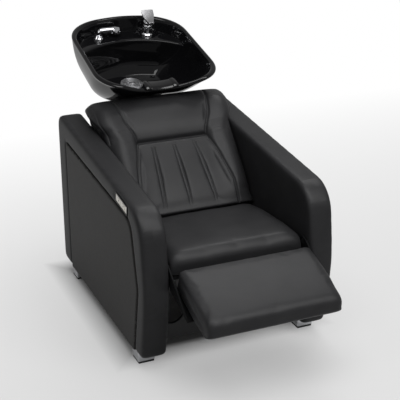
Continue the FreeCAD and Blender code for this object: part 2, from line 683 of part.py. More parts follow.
board = padded("leg_rest_board", [
    ("-rest_lead - rest_round", "rest_above - rest_thick"),
    ("-rest_lead - rest_round", "rest_above - rest_thick - board_thick"),
    ("-rest_lead - rest_long + rest_nose + 2 * rest_round", "rest_above - rest_thick - board_thick"),
    ("-rest_lead - rest_long + rest_nose + 2 * rest_round", "rest_above - rest_thick"),
], f"2 * ({REST_HALF} - rest_round)")
keep(on_rest(board, f"-{REST_HALF} + rest_round"), "leg_rest_board")

BOARD_LOW = "(rest_above - rest_thick - board_thick)"
for side, sign in (("left", -1), ("right", 1)):
    eye = padded(f"{side}_hinge_arm", [
        ("hinge_eye", "hinge_eye"),
        ("-hinge_eye", "hinge_eye"),
        ("-rest_lead - hinge_flange_long", f"{BOARD_LOW}"),
        ("-rest_lead - hinge_flange_long", f"{BOARD_LOW} - hinge_plate"),
        ("-rest_lead", f"{BOARD_LOW} - hinge_plate"),
        ("hinge_eye", "-hinge_eye"),
    ], "hinge_plate", {corner: "hinge_eye - corner_flat" for corner in (0, 1, 5)})
    inner = f"({INSIDE} - hinge_to_arm - hinge_plate)"
    on_rest(eye, inner if sign > 0 else f"-{inner} - hinge_plate")
    flange = doc.addObject("Part::Box", f"{side}_hinge_foot")
    bind(flange, Length="hinge_flange", Width="hinge_flange_long", Height="hinge_plate")
    lean = "(rest_drop * 1 deg)"
    along = "(-rest_lead - hinge_flange_long)"
    down = f"({BOARD_LOW} - hinge_plate)"
    place(flange, f"{inner} + hinge_plate - hinge_flange" if sign > 0 else f"-{inner} - hinge_plate",
          f"arm_front + rest_pivot + {along} * cos({lean}) - {down} * sin({lean})",
          f"{PIVOT_HIGH} + {along} * sin({lean}) + {down} * cos({lean})", (1, 0, 0), "rest_drop")
    eye_hole = rod(f"{side}_hinge_hole", "pivot_radius + run_fit", "3 * hinge_plate",
                   f"{sign} * ({inner} - hinge_plate)", "arm_front + rest_pivot", PIVOT_HIGH,
                   (0, sign, 0))
    plate = fuse(f"{side}_hinge_body", eye, flange)
    keep(cut(f"{side}_hinge_plate", plate, eye_hole), f"{side}_hinge_plate")


# Slotted levers: the push rod's pin runs straight, so it moves along the slot as the leg rest swings

def pin_in_rest(share):
    """The pin's place in the leg rest's own frame, when that has swung down by a share of its travel."""
    swing = math.radians(v.rest_drop + share * v.rest_swing)
    along = v.rod_travel * (share - 0.5)
    return Vector(0, along * math.cos(swing) - v.rod_below * math.sin(swing),
                  -v.rod_below * math.cos(swing) - along * math.sin(swing))


def slot_shape(radius):
    """A straight slot with round ends, from the pin's place at mid travel to its mean place at the ends."""
    near = pin_in_rest(0.5)
    far = (pin_in_rest(0) + pin_in_rest(1)) / 2
    across = Vector(4 * v.lever_apart, 0, 0)
    run = far - near
    side = Vector(1, 0, 0).cross(run).normalize() * radius
    web = Part.Face(Part.makePolygon([near - side, far - side, far + side, near + side, near - side]))
    web.translate(across / -2)
    ends = [Part.makeCylinder(radius, across.Length, point - across / 2, across) for point in (near, far)]
    return web.extrude(across).fuse(ends).removeSplitter()


def lever_shape(sign):
    """One lever plate: a band round the slot, joined by a rib to a foot under the leg rest board."""
    board_low = v.rest_above - v.rest_thick - v.board_thick
    near = sign * v.lever_apart
    far = sign * (v.lever_apart + v.lever_thick)
    foot_far = near + sign * v.hinge_flange / 2
    band = slot_shape(v.pin_radius + v.slot_play + v.lever_thick)
    mid = pin_in_rest(0.5)
    half = v.lever_foot / 2
    slab = Part.makeBox(v.lever_thick, v.unit_width, v.unit_width,
                        Vector(min(near, far), -v.unit_width, board_low - v.unit_width))
    rib = Part.makeBox(v.lever_thick, v.lever_foot, board_low - mid.z,
                       Vector(min(near, far), mid.y - half, mid.z))
    foot = Part.makeBox(abs(foot_far - near), v.lever_foot, v.hinge_plate,
                        Vector(min(near, foot_far), mid.y - half, board_low - v.hinge_plate))
    return band.common(slab).fuse([rib, foot]).cut(slot_shape(v.pin_radius + v.slot_play)).removeSplitter()


for side, sign in (("left", -1), ("right", 1)):
    keep(on_rest(shaped(f"{side}_slotted_lever", lever_shape(sign))), f"{side}_slotted_lever")


# Push rod actuator

ROD_HIGH = f"({PIVOT_HIGH} - rod_below)"
PIN_OUT = "(arm_front + rest_pivot - rod_travel / 2)"
PIN_IN = "(arm_front + rest_pivot + rod_travel / 2)"
TUBE_AT = f"({PIN_IN} + drive_from_pin)"

pin_long = "2 * (lever_apart + lever_thick)"
keep(rod("push_pin", "pin_radius", pin_long, f"-({pin_long}) / 2", PIN_OUT, ROD_HIGH, (0, 1, 0)), "push_pin")
shaft = rod("push_shaft", "rod_radius", "rod_long", "0", f"{PIN_OUT} + rod_long", ROD_HIGH, (1, 0, 0))
eye = rod("push_eye", "pin_radius + eye_wall", "2 * (lever_apart - eye_gap)", "-(lever_apart - eye_gap)",
          PIN_OUT, ROD_HIGH, (0, 1, 0))
eye_bore = rod("push_eye_bore", "pin_radius", "4 * lever_apart", "-2 * lever_apart",
               PIN_OUT, ROD_HIGH, (0, 1, 0))
keep(cut("push_rod", fuse("push_rod_body", shaft, eye), eye_bore), "push_rod")

tube = rod("drive_tube_body", "drive_tube", "drive_tube_long",
           "0", f"{TUBE_AT} + drive_tube_long", ROD_HIGH, (1, 0, 0))
tube_bore = rod("drive_tube_bore", "rod_radius + run_fit", "2 * drive_tube_long",
                "0", f"{TUBE_AT} + 1.5 * drive_tube_long", ROD_HIGH, (1, 0, 0))
keep(cut("actuator_tube", tube, tube_bore), "actuator_tube")
gear = box("gear_case", "gear_wide", "gear_long", "gear_wide", "0", f"{TUBE_AT} + drive_tube_long",
           f"{ROD_HIGH} - gear_wide / 2")
gear_bore = rod("gear_bore", "rod_radius + run_fit", "gear_long - 2 * rail_wall",
                "0", f"{TUBE_AT} + drive_tube_long + gear_long - 2 * rail_wall", ROD_HIGH, (1, 0, 0))
keep(cut("actuator_gearbox", gear, gear_bore), "actuator_gearbox")
keep(rod("actuator_motor", "motor_radius", "motor_long", "0",
         f"{TUBE_AT} + drive_tube_long + motor_radius + rail_wall", f"{ROD_HIGH} - gear_wide / 2 - motor_long"),
     "actuator_motor")
DRIVE_RAIL = f"({TUBE_AT} + drive_tube_long + gear_long)"
rail("drive_cross_rail", DRIVE_RAIL, f"{ROD_HIGH} - rail_high / 2")


# Control panel on the left arm: bezel, silver plate and two buttons

bezel_block = doc.addObject("Part::Box", "bezel_block")
bind(bezel_block, Length="panel_deep", Width="panel_long", Height="panel_tall")
control_place(bezel_block, "0", "0", "0")
bezel_mouth = doc.addObject("Part::Box", "bezel_mouth")
bind(bezel_mouth, Length="panel_deep - bezel_rim", Width="panel_long - 2 * bezel_rim",
     Height="panel_tall - 2 * bezel_rim")
control_place(bezel_mouth, "bezel_rim", "bezel_rim", "0")
keep(cut("control_bezel", bezel_block, bezel_mouth), "control_bezel")

plate = doc.addObject("Part::Box", "plate_blank")
bind(plate, Length="plate_thick", Width="panel_long - 2 * bezel_rim", Height="panel_tall - 2 * bezel_rim")
control_place(plate, "bezel_rim", "bezel_rim", "-plate_sink")
plate_holes = []
for label, sign in (("raise", 1), ("lower", -1)):
    start = f"(panel_long / 2 + {sign} * button_apart / 2 - button_long / 2)"
    hole = doc.addObject("Part::Box", f"{label}_hole")
    bind(hole, Length="3 * plate_thick", Width="button_long", Height="button_tall")
    control_place(hole, start, "(panel_tall - button_tall) / 2", "plate_thick")
    plate_holes.append(hole)
    button = doc.addObject("Part::Box", f"{label}_button")
    bind(button, Length="plate_thick + button_travel", Width="button_long - 2 * button_gap",
         Height="button_tall - 2 * button_gap")
    control_place(button, f"{start} + button_gap", "(panel_tall - button_tall) / 2 + button_gap",
                  "button_travel - plate_sink")
    keep(button, f"{label}_button")
keep(cut("control_plate", plate, *plate_holes), "control_plate")


# Column behind the back with its base plate, rear cover and tilt head

COLUMN_AT = "(arm_front + tie_rail_at + rail_deep)"
COLUMN_BODY = "(column_high - base_thick)"
shell = box("column_block", "column_wide", "column_deep", COLUMN_BODY, "0", COLUMN_AT, "base_thick")
hollow = box("column_hollow", "column_wide - 2 * column_wall", "column_deep", f"{COLUMN_BODY} - column_wall",
             "0", f"{COLUMN_AT} + column_wall", "base_thick")
tail_slot = box("tail_slot", "tail_slot_wide", "column_deep - tilt_behind - ear_half", "4 * column_wall",
                "0", f"{COLUMN_AT} + tilt_behind + ear_half", "column_high - 2 * column_wall")
keep(cut("column", shell, hollow, tail_slot), "column")

keep(box("column_cover", "column_wide - 2 * column_wall - 2 * cover_gap", "column_wall",
         f"{COLUMN_BODY} - column_wall - cover_gap", "0", f"{COLUMN_AT} + column_deep - column_wall",
         "base_thick"), "column_cover")

BASE_AT = f"({COLUMN_AT} + column_deep / 2)"
base = box("base_blank", "base_wide", "base_deep", "base_thick", "0", f"{BASE_AT} - base_deep / 2")
anchors = [rod(f"anchor_{a}_{b}", "bolt_radius", "4 * base_thick", f"{a} * bolt_wide / 2",
               f"{BASE_AT} + {b} * bolt_deep / 2", "-base_thick") for a in (-1, 1) for b in (-1, 1)]
keep(cut("column_base", base, *anchors), "column_base")

TILT_AT = f"({COLUMN_AT} + tilt_behind)"
TILT_HIGH = "(column_high + tilt_above)"
for side, sign in (("left", -1), ("right", 1)):
    ear = padded(f"{side}_fixed_ear", [
        ("-ear_half", "-tilt_above"),
        ("ear_half", "-tilt_above"),
        ("ear_half", "ear_half"),
        ("-ear_half", "ear_half"),
    ], "ear_thick", {2: "ear_half - corner_flat", 3: "ear_half - corner_flat"})
    place(ear, "ear_out - ear_thick" if sign > 0 else "-ear_out", TILT_AT, TILT_HIGH)
    hole = rod(f"{side}_ear_hole", "tilt_pin", "4 * ear_thick", f"{sign} * (ear_out - 2 * ear_thick)",
               TILT_AT, TILT_HIGH, (0, sign, 0))
    keep(cut(f"{side}_tilt_ear", ear, hole), f"{side}_tilt_ear")
keep(rod("tilt_pin_rod", "tilt_pin", "2 * ear_out", "-ear_out", TILT_AT, TILT_HIGH, (0, 1, 0)), "tilt_pin_rod")


# Basin, made level with the front of its rim at the origin, then leaned

def on_basin(obj, x="0", along="0", up="0"):
    """Place an object of the basin: along its rim from the front, and up from the rim."""
    lean = "(basin_lean * 1 deg)"
    return place(obj, x, f"arm_front + {BASIN_FRONT} + ({along}) * cos({lean}) - ({up}) * sin({lean})",
                 f"{BASIN_HIGH} + ({along}) * sin({lean}) + ({up}) * cos({lean})", (1, 0, 0), "basin_lean")


def rounded(points):
    """A wire through corner points with a radius each: lines joined by tangent arcs."""
    count = len(points)
    stops = []
    for k, (corner, radius) in enumerate(points):
        to_last = (points[k - 1][0] - corner).normalize()
        to_next = (points[(k + 1) % count][0] - corner).normalize()
        half = to_last.getAngle(to_next) / 2
        reach = radius / math.tan(half)
        middle = corner + (to_last + to_next).normalize() * (radius / math.sin(half) - radius)
        stops.append((corner + to_last * reach, middle, corner + to_next * reach))
    pieces = []
    for k, (first, middle, last) in enumerate(stops):
        pieces.append((first, middle, last))
        pieces.append((last, stops[(k + 1) % count][0]))
    return wire(*pieces)


def basin_section(down, side, front, rear, shrink):
    """One level of the basin: its walls drawn in by side, front and rear, its corners by shrink."""
    near = v.basin_half_front - side
    far = v.basin_half_rear - side
    back = v.basin_long - rear
    most = 0.48 * min(2 * far, back - front)
    front_round = min(v.basin_round_front * shrink, most)
    rear_round = min(v.basin_round_rear * shrink, most)
    return rounded([
        (Vector(-near, front, -down), front_round),
        (Vector(near, front, -down), front_round),
        (Vector(far, back, -down), rear_round),
        (Vector(-far, back, -down), rear_round),
    ])


# Levels of the basin: share of its depth, then how far its sides are drawn in as a share of its half width and
# its front and rear as shares of its length, and how much its corner radii shrink
BASIN_LEVELS = [
    (0, 0, 0, 0, 1),
    (0.25, 0.04, 0.142, 0.014, 0.97),
    (0.65, 0.2, 0.291, 0.065, 0.85),
    (1, 0.46, 0.455, 0.158, 0.62),
]


def basin_form(wall, depth, lip):
    """The basin's form drawn in by a wall, from lip above the rim down to a depth."""
    sections = []
    for share, side, front, rear, shrink in BASIN_LEVELS:
        down = share * depth if share else -lip
        sections.append(basin_section(down, wall + side * v.basin_half_front, wall + front * v.basin_long,
                                      wall + rear * v.basin_long, shrink))
    return Part.makeLoft(sections, True, False)


def basin_hollow():
    """The hollow of the bowl: the form inside the rim, less the tap deck at the rear."""
    hollow = basin_form(v.rim_wide, v.basin_depth - v.basin_wall, v.soft_gap)
    reach = v.basin_half_front + v.basin_wall
    deck = Part.makeBox(2 * reach, v.basin_long, v.basin_depth - v.deck_sink,
                        Vector(-reach, 0, -v.basin_depth))
    front = Part.makeCylinder(v.deck_arc, 2 * v.basin_depth,
                              Vector(0, deck_edge - v.deck_arc, -v.basin_depth - v.deck_sink), Vector(0, 0, 1))
    return hollow.cut(deck.cut(front))


def basin_shape():
    """Bowl, tap deck, neck notch and the holes for the fittings, as one fired piece."""
    notch = Part.makeCylinder(v.neck_radius, 4 * v.neck_long,
                              Vector(0, -v.neck_long, v.neck_radius - v.neck_sink), Vector(0, 1, 0))
    under_deck = -v.deck_sink - v.deck_thick
    behind = deck_edge + v.basin_wall
    service_low = -v.service_low
    room = Part.makeBox(v.basin_half_front + v.tap_apart, v.basin_long, under_deck - service_low,
                        Vector(-(v.basin_half_front + v.tap_apart) / 2, behind, service_low))
    room = room.common(basin_form(v.basin_wall, v.basin_depth, 0))
    exit_box = Part.makeBox(v.unit_width, v.basin_long, v.basin_depth,
                            Vector(-v.unit_width / 2, behind, service_low - v.basin_depth))
    drain = Part.makeCylinder(v.drain_hole, v.basin_depth, Vector(0, drain_at, -1.5 * v.basin_depth),
                              Vector(0, 0, 1))
    tools = [basin_hollow(), notch, room, exit_box, drain]
    for sign in (-1, 1):
        foot = Vector(sign * v.tap_apart, tap_at, under_deck - v.deck_thick)
        tools.append(Part.makeCylinder(v.tap_hole, 4 * v.deck_thick, foot, Vector(0, 0, 1)))
    return basin_form(0, v.basin_depth, 0).cut(tools)


keep(on_basin(shaped("basin", basin_shape())), "basin")


# Neck rest: a curved gel pad in the notch

# Where the flared front wall of the basin passes the bottom of the notch
neck_at = BASIN_LEVELS[1][2] / BASIN_LEVELS[1][0] * v.neck_sink / v.basin_depth * v.basin_long


def neck_shape():
    """A bent pad that follows the notch, with raised ridges at its ends."""
    axis_up = v.neck_radius - v.neck_sink
    outer = v.neck_radius - v.soft_gap
    start = Vector(0, neck_at - v.neck_pad / 2, axis_up)
    along = Vector(0, 1, 0)
    ring = Part.makeCylinder(outer, v.neck_long, start, along)
    ring = ring.cut(Part.makeCylinder(outer - v.neck_pad, v.neck_long, start, along))
    keep_box = Part.makeBox(2 * v.neck_half, 3 * v.neck_long, v.neck_radius,
                            Vector(-v.neck_half, neck_at - v.neck_long, -v.neck_sink - v.neck_pad))
    return ring.common(keep_box)


keep(on_basin(shaped("neck_rest", neck_shape())), "neck_rest")


# Drain: flange with strainer, back nut and tail pipe

floor_down = "(basin_depth - basin_wall)"
drain = turned("drain_strainer", [
    ("0", "0"),
    ("0", "-basin_wall - nut_high"),
    ("drain_tube", "-basin_wall - nut_high"),
    ("drain_tube", "0"),
    ("drain_flange", "0"),
    ("drain_flange - drain_lip", "drain_lip"),
    ("drain_tube + drain_lip", "drain_lip"),
    ("drain_tube", "drain_dish"),
    ("drain_tube / 2", "drain_dish"),
    ("drain_tube / 2 - drain_lip", "drain_lip"),
    ("0", "drain_lip"),
])
keep(on_basin(drain, "0", DRAIN_AT, f"-{floor_down}"), "drain_strainer")

bracket = doc.addObject("Part::Box", "bracket_blank")
bracket_half = "(ear_out - ear_thick - ear_gap)"
bind(bracket, Length=f"2 * {bracket_half}", Width="basin_long / 4", Height="bracket_thick")
BRACKET_AT = f"({DRAIN_AT} - basin_long / 8)"
on_basin(bracket, f"-{bracket_half}", BRACKET_AT, "-basin_depth - bracket_thick")
bracket_bore = doc.addObject("Part::Cylinder", "bracket_bore")
bind(bracket_bore, Radius="drain_nut + 2 * ear_gap", Height="4 * bracket_thick")
on_basin(bracket_bore, "0", DRAIN_AT, "-basin_depth - 2 * bracket_thick")


def lug_shape(sign):
    """A moving ear: from the bracket plate down to the tilt pin, square to the floor frame."""
    lean = math.radians(v.basin_lean)
    rise = math.radians(v.back_angle)
    plate_low = -v.basin_depth - v.bracket_thick
    front = (v.arm_front + v.seat_deep + v.back_from_seat + v.back_long * math.cos(rise)
             - v.basin_on_back)
    high = (v.seat_under + v.seat_rear_thick + v.back_over_seat + v.back_long * math.sin(rise)
            + v.basin_over_back)
    corners = []
    for along in (drain_at - v.basin_long / 8, drain_at + v.basin_long / 8):
        corners.append(Vector(0, front + along * math.cos(lean) - plate_low * math.sin(lean),
                              high + along * math.sin(lean) + plate_low * math.cos(lean)))
    pin = Vector(0, v.arm_front + v.tie_rail_at + v.rail_deep + v.tilt_behind, v.column_high + v.tilt_above)
    near = sign * (v.ear_out - v.ear_thick - v.ear_gap)
    inner = near - sign * v.ear_thick
    web = Part.Face(Part.makePolygon([corners[0], corners[1], pin + Vector(0, v.ear_half, 0),
                                      pin + Vector(0, -v.ear_half, 0), corners[0]]))
    web.translate(Vector(min(near, inner), 0, 0))
    lug = web.extrude(Vector(v.ear_thick, 0, 0))
    boss = Part.makeCylinder(v.ear_half, v.ear_thick, pin + Vector(min(near, inner), 0, 0), Vector(1, 0, 0))
    hole = Part.makeCylinder(v.tilt_pin + v.run_fit, 2 * v.unit_width, pin - Vector(v.unit_width, 0, 0),
                             Vector(1, 0, 0))
    return lug.fuse(boss).cut(hole)


lugs = [shaped(f"{side}_lug", lug_shape(sign)) for side, sign in (("left", -1), ("right", 1))]
keep(cut("basin_bracket", fuse("bracket_body", bracket, *lugs), bracket_bore), "basin_bracket")

keep(on_basin(turned("drain_nut", [
    ("drain_tube", "-nut_high"),
    ("drain_nut", "-nut_high"),
    ("drain_nut", "0"),
    ("drain_tube", "0"),
]), "0", DRAIN_AT, "-basin_depth"), "drain_nut")
keep(on_basin(turned("drain_tail_pipe", [
    ("drain_tube - drain_pipe_wall", "-drain_tail"),
    ("drain_tube", "-drain_tail"),
    ("drain_tube", "0"),
    ("drain_tube - drain_pipe_wall", "0"),
]), "0", DRAIN_AT, "-basin_depth - nut_high"), "drain_tail_pipe")


# Mixer: body with shank, back nut, turning cap and lever

DECK_UP = "-deck_sink"
mixer = turned("mixer_body", [
    ("0", "-deck_thick - shank_long"),
    ("shank_radius", "-deck_thick - shank_long"),
    ("shank_radius", "0"),
    ("mixer_radius + rose_wide", "0"),
    ("mixer_radius + rose_wide", "rose_high"),
    ("mixer_radius", "2 * rose_high"),
    ("mixer_radius - mixer_taper", "mixer_high"),
    ("0", "mixer_high"),
])
keep(on_basin(mixer, "tap_apart", TAP_AT, DECK_UP), "mixer_body")
cap = turned("mixer_cap", [
    ("0", "mixer_high + soft_gap"),
    ("mixer_radius - mixer_taper", "mixer_high + soft_gap"),
    ("mixer_radius - mixer_taper", "mixer_high + cap_high - cap_edge"),
    ("mixer_radius - mixer_taper - cap_edge", "mixer_high + cap_high"),
    ("0", "mixer_high + cap_high"),
])
keep(on_basin(cap, "tap_apart", TAP_AT, DECK_UP), "mixer_cap")
LEVER_UP = "deck_sink - mixer_high - cap_high - 2 * soft_gap"
lever = padded("mixer_lever", [
    ("-lever_wide / 2", "mixer_radius"),
    ("-lever_tip / 2", "mixer_radius - lever_long"),
    ("lever_tip / 2", "mixer_radius - lever_long"),
    ("lever_wide / 2", "mixer_radius"),
], "lever_high", {corner: "lever_round" for corner in range(4)}, "XY_Plane")
keep(on_basin(lever, "tap_apart", TAP_AT, f"-({LEVER_UP})"), "mixer_lever")


# Hand shower in its socket

socket = turned("shower_socket", [
    ("socket_bore", "-deck_thick - shank_long"),
    ("shank_radius", "-deck_thick - shank_long"),
    ("shank_radius", "0"),
    ("socket_radius", "0"),
    ("socket_radius", "rose_high"),
    ("socket_radius - rose_wide", "socket_high"),
    ("socket_bore", "socket_high"),
])
keep(on_basin(socket, "-tap_apart", TAP_AT, DECK_UP), "shower_socket")
for label, sign in (("mixer_nut", 1), ("shower_nut", -1)):
    keep(on_basin(turned(label, [
        ("shank_radius", "-deck_thick - nut_high"),
        ("nut_radius", "-deck_thick - nut_high"),
        ("nut_radius", "-deck_thick"),
        ("shank_radius", "-deck_thick"),
    ]), f"{sign} * tap_apart", TAP_AT, DECK_UP), label)


def spray_shape():
    """Hand shower: straight stem, bent neck and a flared head looking down into the bowl."""
    low = Vector(0, 0, -v.deck_thick)
    rise = Vector(0, 0, v.socket_high + v.spray_straight)
    over = rise + Vector(v.spray_bend, 0, v.spray_bend)
    bow = math.sqrt(0.5) * v.spray_bend
    bend = rise + Vector(v.spray_bend - bow, 0, bow)
    end = Vector(v.spray_reach, 0, over.z)
    path = Part.Wire([Part.LineSegment(low, rise).toShape(), Part.Arc(rise, bend, over).toShape(),
                      Part.LineSegment(over, end).toShape()])
    ring = Part.Wire([Part.Circle(low, Vector(0, 0, 1), v.spray_stem).toShape()])
    stem = path.makePipeShell([ring], True, True)
    head = Part.makeCone(v.spray_head - v.spray_flare, v.spray_head, v.spray_head,
                         end + Vector(0, 0, v.spray_head / 2), Vector(0, 0, -1))
    return stem.fuse(head).removeSplitter()


keep(on_basin(shaped("hand_shower", spray_shape()), "-tap_apart", TAP_AT, DECK_UP), "hand_shower")


# Check every object, then write one file for each sub-part

doc.recompute()
for obj in doc.Objects:
    if {"Invalid", "Error"} & set(obj.State):
        raise RuntimeError(f"{obj.Label} failed: {obj.State}")
for obj in PARTS:
    if obj.Shape.isNull() or not obj.Shape.isValid() or not obj.Shape.Solids:
        raise RuntimeError(f"{obj.Label} has no valid solid")

os.makedirs("parts", exist_ok=True)
for obj in PARTS:
    obj.Shape.exportStep(f"parts/{obj.Label}.step")
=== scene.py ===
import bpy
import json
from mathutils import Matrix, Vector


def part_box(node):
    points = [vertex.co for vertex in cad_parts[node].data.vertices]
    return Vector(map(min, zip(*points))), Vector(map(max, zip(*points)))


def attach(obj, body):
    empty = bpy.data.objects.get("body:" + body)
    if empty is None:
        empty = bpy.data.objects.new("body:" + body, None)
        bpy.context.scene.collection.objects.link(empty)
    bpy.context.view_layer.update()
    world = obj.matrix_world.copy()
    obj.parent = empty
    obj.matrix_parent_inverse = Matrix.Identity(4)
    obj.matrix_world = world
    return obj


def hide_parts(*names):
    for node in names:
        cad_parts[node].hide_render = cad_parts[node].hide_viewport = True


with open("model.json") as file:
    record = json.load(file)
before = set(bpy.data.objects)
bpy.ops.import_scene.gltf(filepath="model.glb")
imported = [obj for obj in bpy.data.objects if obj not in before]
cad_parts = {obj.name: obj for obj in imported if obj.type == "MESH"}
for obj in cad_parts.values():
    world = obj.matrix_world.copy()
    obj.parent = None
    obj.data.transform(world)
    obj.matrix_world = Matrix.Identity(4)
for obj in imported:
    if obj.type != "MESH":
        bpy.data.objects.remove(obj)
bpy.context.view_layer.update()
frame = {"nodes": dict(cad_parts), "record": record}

import json
import math

import bpy
import numpy as np
from mathutils import Matrix, Vector

bl_info = {
    "name": "Salon backwash unit",
    "version": (1, 0, 0),
    "blender": (4, 5, 0),
    "location": "View3D > Sidebar > Backwash",
    "description": "Upholstery, glazed basin, fittings and finishes of a salon backwash unit",
    "category": "Object",
}

# Places that the pieces share, in metres, in the frame of the solids
BACK_FOOT = Vector((0, -0.046, 0.396))
BACK_ANGLE = math.radians(46)
BASIN_FRONT = Vector((0, 0.190, 0.809))
BASIN_LEAN = math.radians(15)


# Small tools

def linear(hex_colour):
    """A linear colour from an sRGB hex value."""
    parts = [int(hex_colour[k:k + 2], 16) / 255 for k in (1, 3, 5)]
    return tuple(c / 12.92 if c <= 0.04045 else ((c + 0.055) / 1.055) ** 2.4 for c in parts)


def add_node(tree, kind, settings=None, **links):
    """Add a node, set its properties and sockets, and link sockets to other nodes' outputs."""
    node = tree.nodes.new(kind)
    for name, value in (settings or {}).items():
        if name in node.inputs:
            node.inputs[name].default_value = value
        else:
            setattr(node, name, value)
    for name, source in links.items():
        tree.links.new(source, node.inputs[name.replace("_", " ")])
    return node


def deselect():
    """Leave nothing selected and no object in edit mode, where points are then what is selected."""
    if bpy.context.object and bpy.context.object.mode != "OBJECT":
        bpy.ops.object.mode_set(mode="OBJECT")
    bpy.context.tool_settings.mesh_select_mode = (True, False, False)
    bpy.ops.object.select_all(action="DESELECT")


def pick(obj):
    """Select one object and make it active."""
    deselect()
    obj.select_set(True)
    bpy.context.view_layer.objects.active = obj
    return obj


def edit_all():
    """Go into edit mode with the whole mesh selected."""
    bpy.ops.object.mode_set(mode="EDIT")
    bpy.ops.mesh.select_all(action="SELECT")


def points_of(obj):
    """A mesh's points as an array."""
    flat = np.zeros(len(obj.data.vertices) * 3, np.float32)
    obj.data.vertices.foreach_get("co", flat)
    return flat.reshape(-1, 3).astype(float)


def normals_of(obj):
    """A mesh's point normals as an array."""
    flat = np.zeros(len(obj.data.vertices) * 3, np.float32)
    obj.data.vertices.foreach_get("normal", flat)
    return flat.reshape(-1, 3).astype(float)


def set_points(obj, points):
    """Write a mesh's points."""
    obj.data.vertices.foreach_set("co", np.asarray(points, np.float32).ravel())
    obj.data.update()


def apply_all(obj):
    """Apply every modifier of a piece, in order."""
    pick(obj)
    for modifier in list(obj.modifiers):
        bpy.ops.object.modifier_apply(modifier=modifier.name)


def smooth_out(obj, rounds, group=""):
    """Smooth a mesh by a number of rounds, all of it or where a vertex group says so."""
    modifier = obj.modifiers.new("Smoothed", "SMOOTH")
    modifier.factor = 0.5
    modifier.iterations = rounds
    modifier.vertex_group = group
    apply_all(obj)


def add_subdivision(obj, levels):
    """Add a subdivision surface that is applied later."""
    modifier = obj.modifiers.new("Subdivided", "SUBSURF")
    modifier.levels = levels
    modifier.render_levels = levels


def add_bevel(obj, width, segments, angle):
    """Add a bevel of the edges that are sharper than an angle in degrees."""
    modifier = obj.modifiers.new("Broken edges", "BEVEL")
    modifier.width = width
    modifier.segments = segments
    modifier.limit_method = "ANGLE"
    modifier.angle_limit = math.radians(angle)


def finish_piece(obj, name, body, material, slot, *nodes):
    """Name a piece, give it its finish, let it ride on its body and stand for its solids."""
    obj.name = name
    obj.data.name = name
    obj.data.materials.clear()
    obj.data.materials.append(material)
    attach(obj, body)
    if nodes:
        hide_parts(*nodes)
    return obj


def in_basin(x, along, up):
    """A point given along the basin's rim from its front, and up from the rim."""
    return BASIN_FRONT + Vector((x, along * math.cos(BASIN_LEAN) - up * math.sin(BASIN_LEAN),
                                 along * math.sin(BASIN_LEAN) + up * math.cos(BASIN_LEAN)))


def lean_basin(obj, x=0.0, along=0.0, up=0.0):
    """Move a piece made upright at the origin to its place on the basin."""
    turn = Matrix.Translation(in_basin(x, along, up)) @ Matrix.Rotation(BASIN_LEAN, 4, "X")
    obj.data.transform(turn)
    obj.data.update()
    return obj


WELD = 0.00005


def soft_copy(node, voxel, smooth):
    """A closed, evenly meshed copy of a soft solid, ready to be filled and sewn."""
    source = frame["nodes"][node]
    obj = bpy.data.objects.new(node + "_soft", source.data.copy())
    bpy.context.scene.collection.objects.link(obj)
    pick(obj)
    edit_all()
    bpy.ops.mesh.remove_doubles(threshold=WELD)
    bpy.ops.mesh.normals_make_consistent(inside=False)
    bpy.ops.object.mode_set(mode="OBJECT")
    obj.data.remesh_voxel_size = voxel
    bpy.ops.object.voxel_remesh()
    smooth_out(obj, smooth)
    return obj


# The filling starts this much smaller, and swells under a pressure for some frames
FILL_SHRINK = 0.002
FILL_PRESSURE = 4.0
FILL_FRAMES = 20


def fill_cushion(obj, cap, free):
    """Swell a cushion by a cloth simulation from a slightly smaller start, with a cap on its movement.

    The array free says how far each point may leave the solid, from 0 where it rests on something to 1.
    """
    start = points_of(obj) - normals_of(obj) * (FILL_SHRINK * free)[:, None]
    set_points(obj, start)
    pick(obj)
    cloth = obj.modifiers.new("Filling", "CLOTH")
    cloth.settings.quality = 4
    cloth.settings.mass = 0.3
    cloth.settings.use_pressure = True
    cloth.settings.uniform_pressure_force = FILL_PRESSURE
    cloth.settings.effector_weights.gravity = 0
    cloth.collision_settings.use_collision = False
    cloth.point_cache.frame_start = 1
    cloth.point_cache.frame_end = FILL_FRAMES
    for number in range(1, FILL_FRAMES + 1):
        bpy.context.scene.frame_set(number)
    bpy.ops.object.modifier_apply(modifier="Filling")
    bpy.context.scene.frame_set(1)
    move = points_of(obj) - start
    length = np.linalg.norm(move, axis=1, keepdims=True)
    set_points(obj, start + move * np.minimum(1, cap / np.maximum(length, 1e-9)) * free[:, None])
    add_subdivision(obj, 1)
    apply_all(obj)


def line_distance(places, corners):
    """Distance of flat places to a line through corner points."""
    best = np.full(len(places), 1e9)
    for a, b in zip(corners[:-1], corners[1:]):
        a = np.array(a)
        run = np.array(b) - a
        share = np.clip((places - a) @ run / max(run @ run, 1e-12), 0, 1)
        best = np.minimum(best, np.linalg.norm(places - (a + share[:, None] * run), axis=1))
    return best


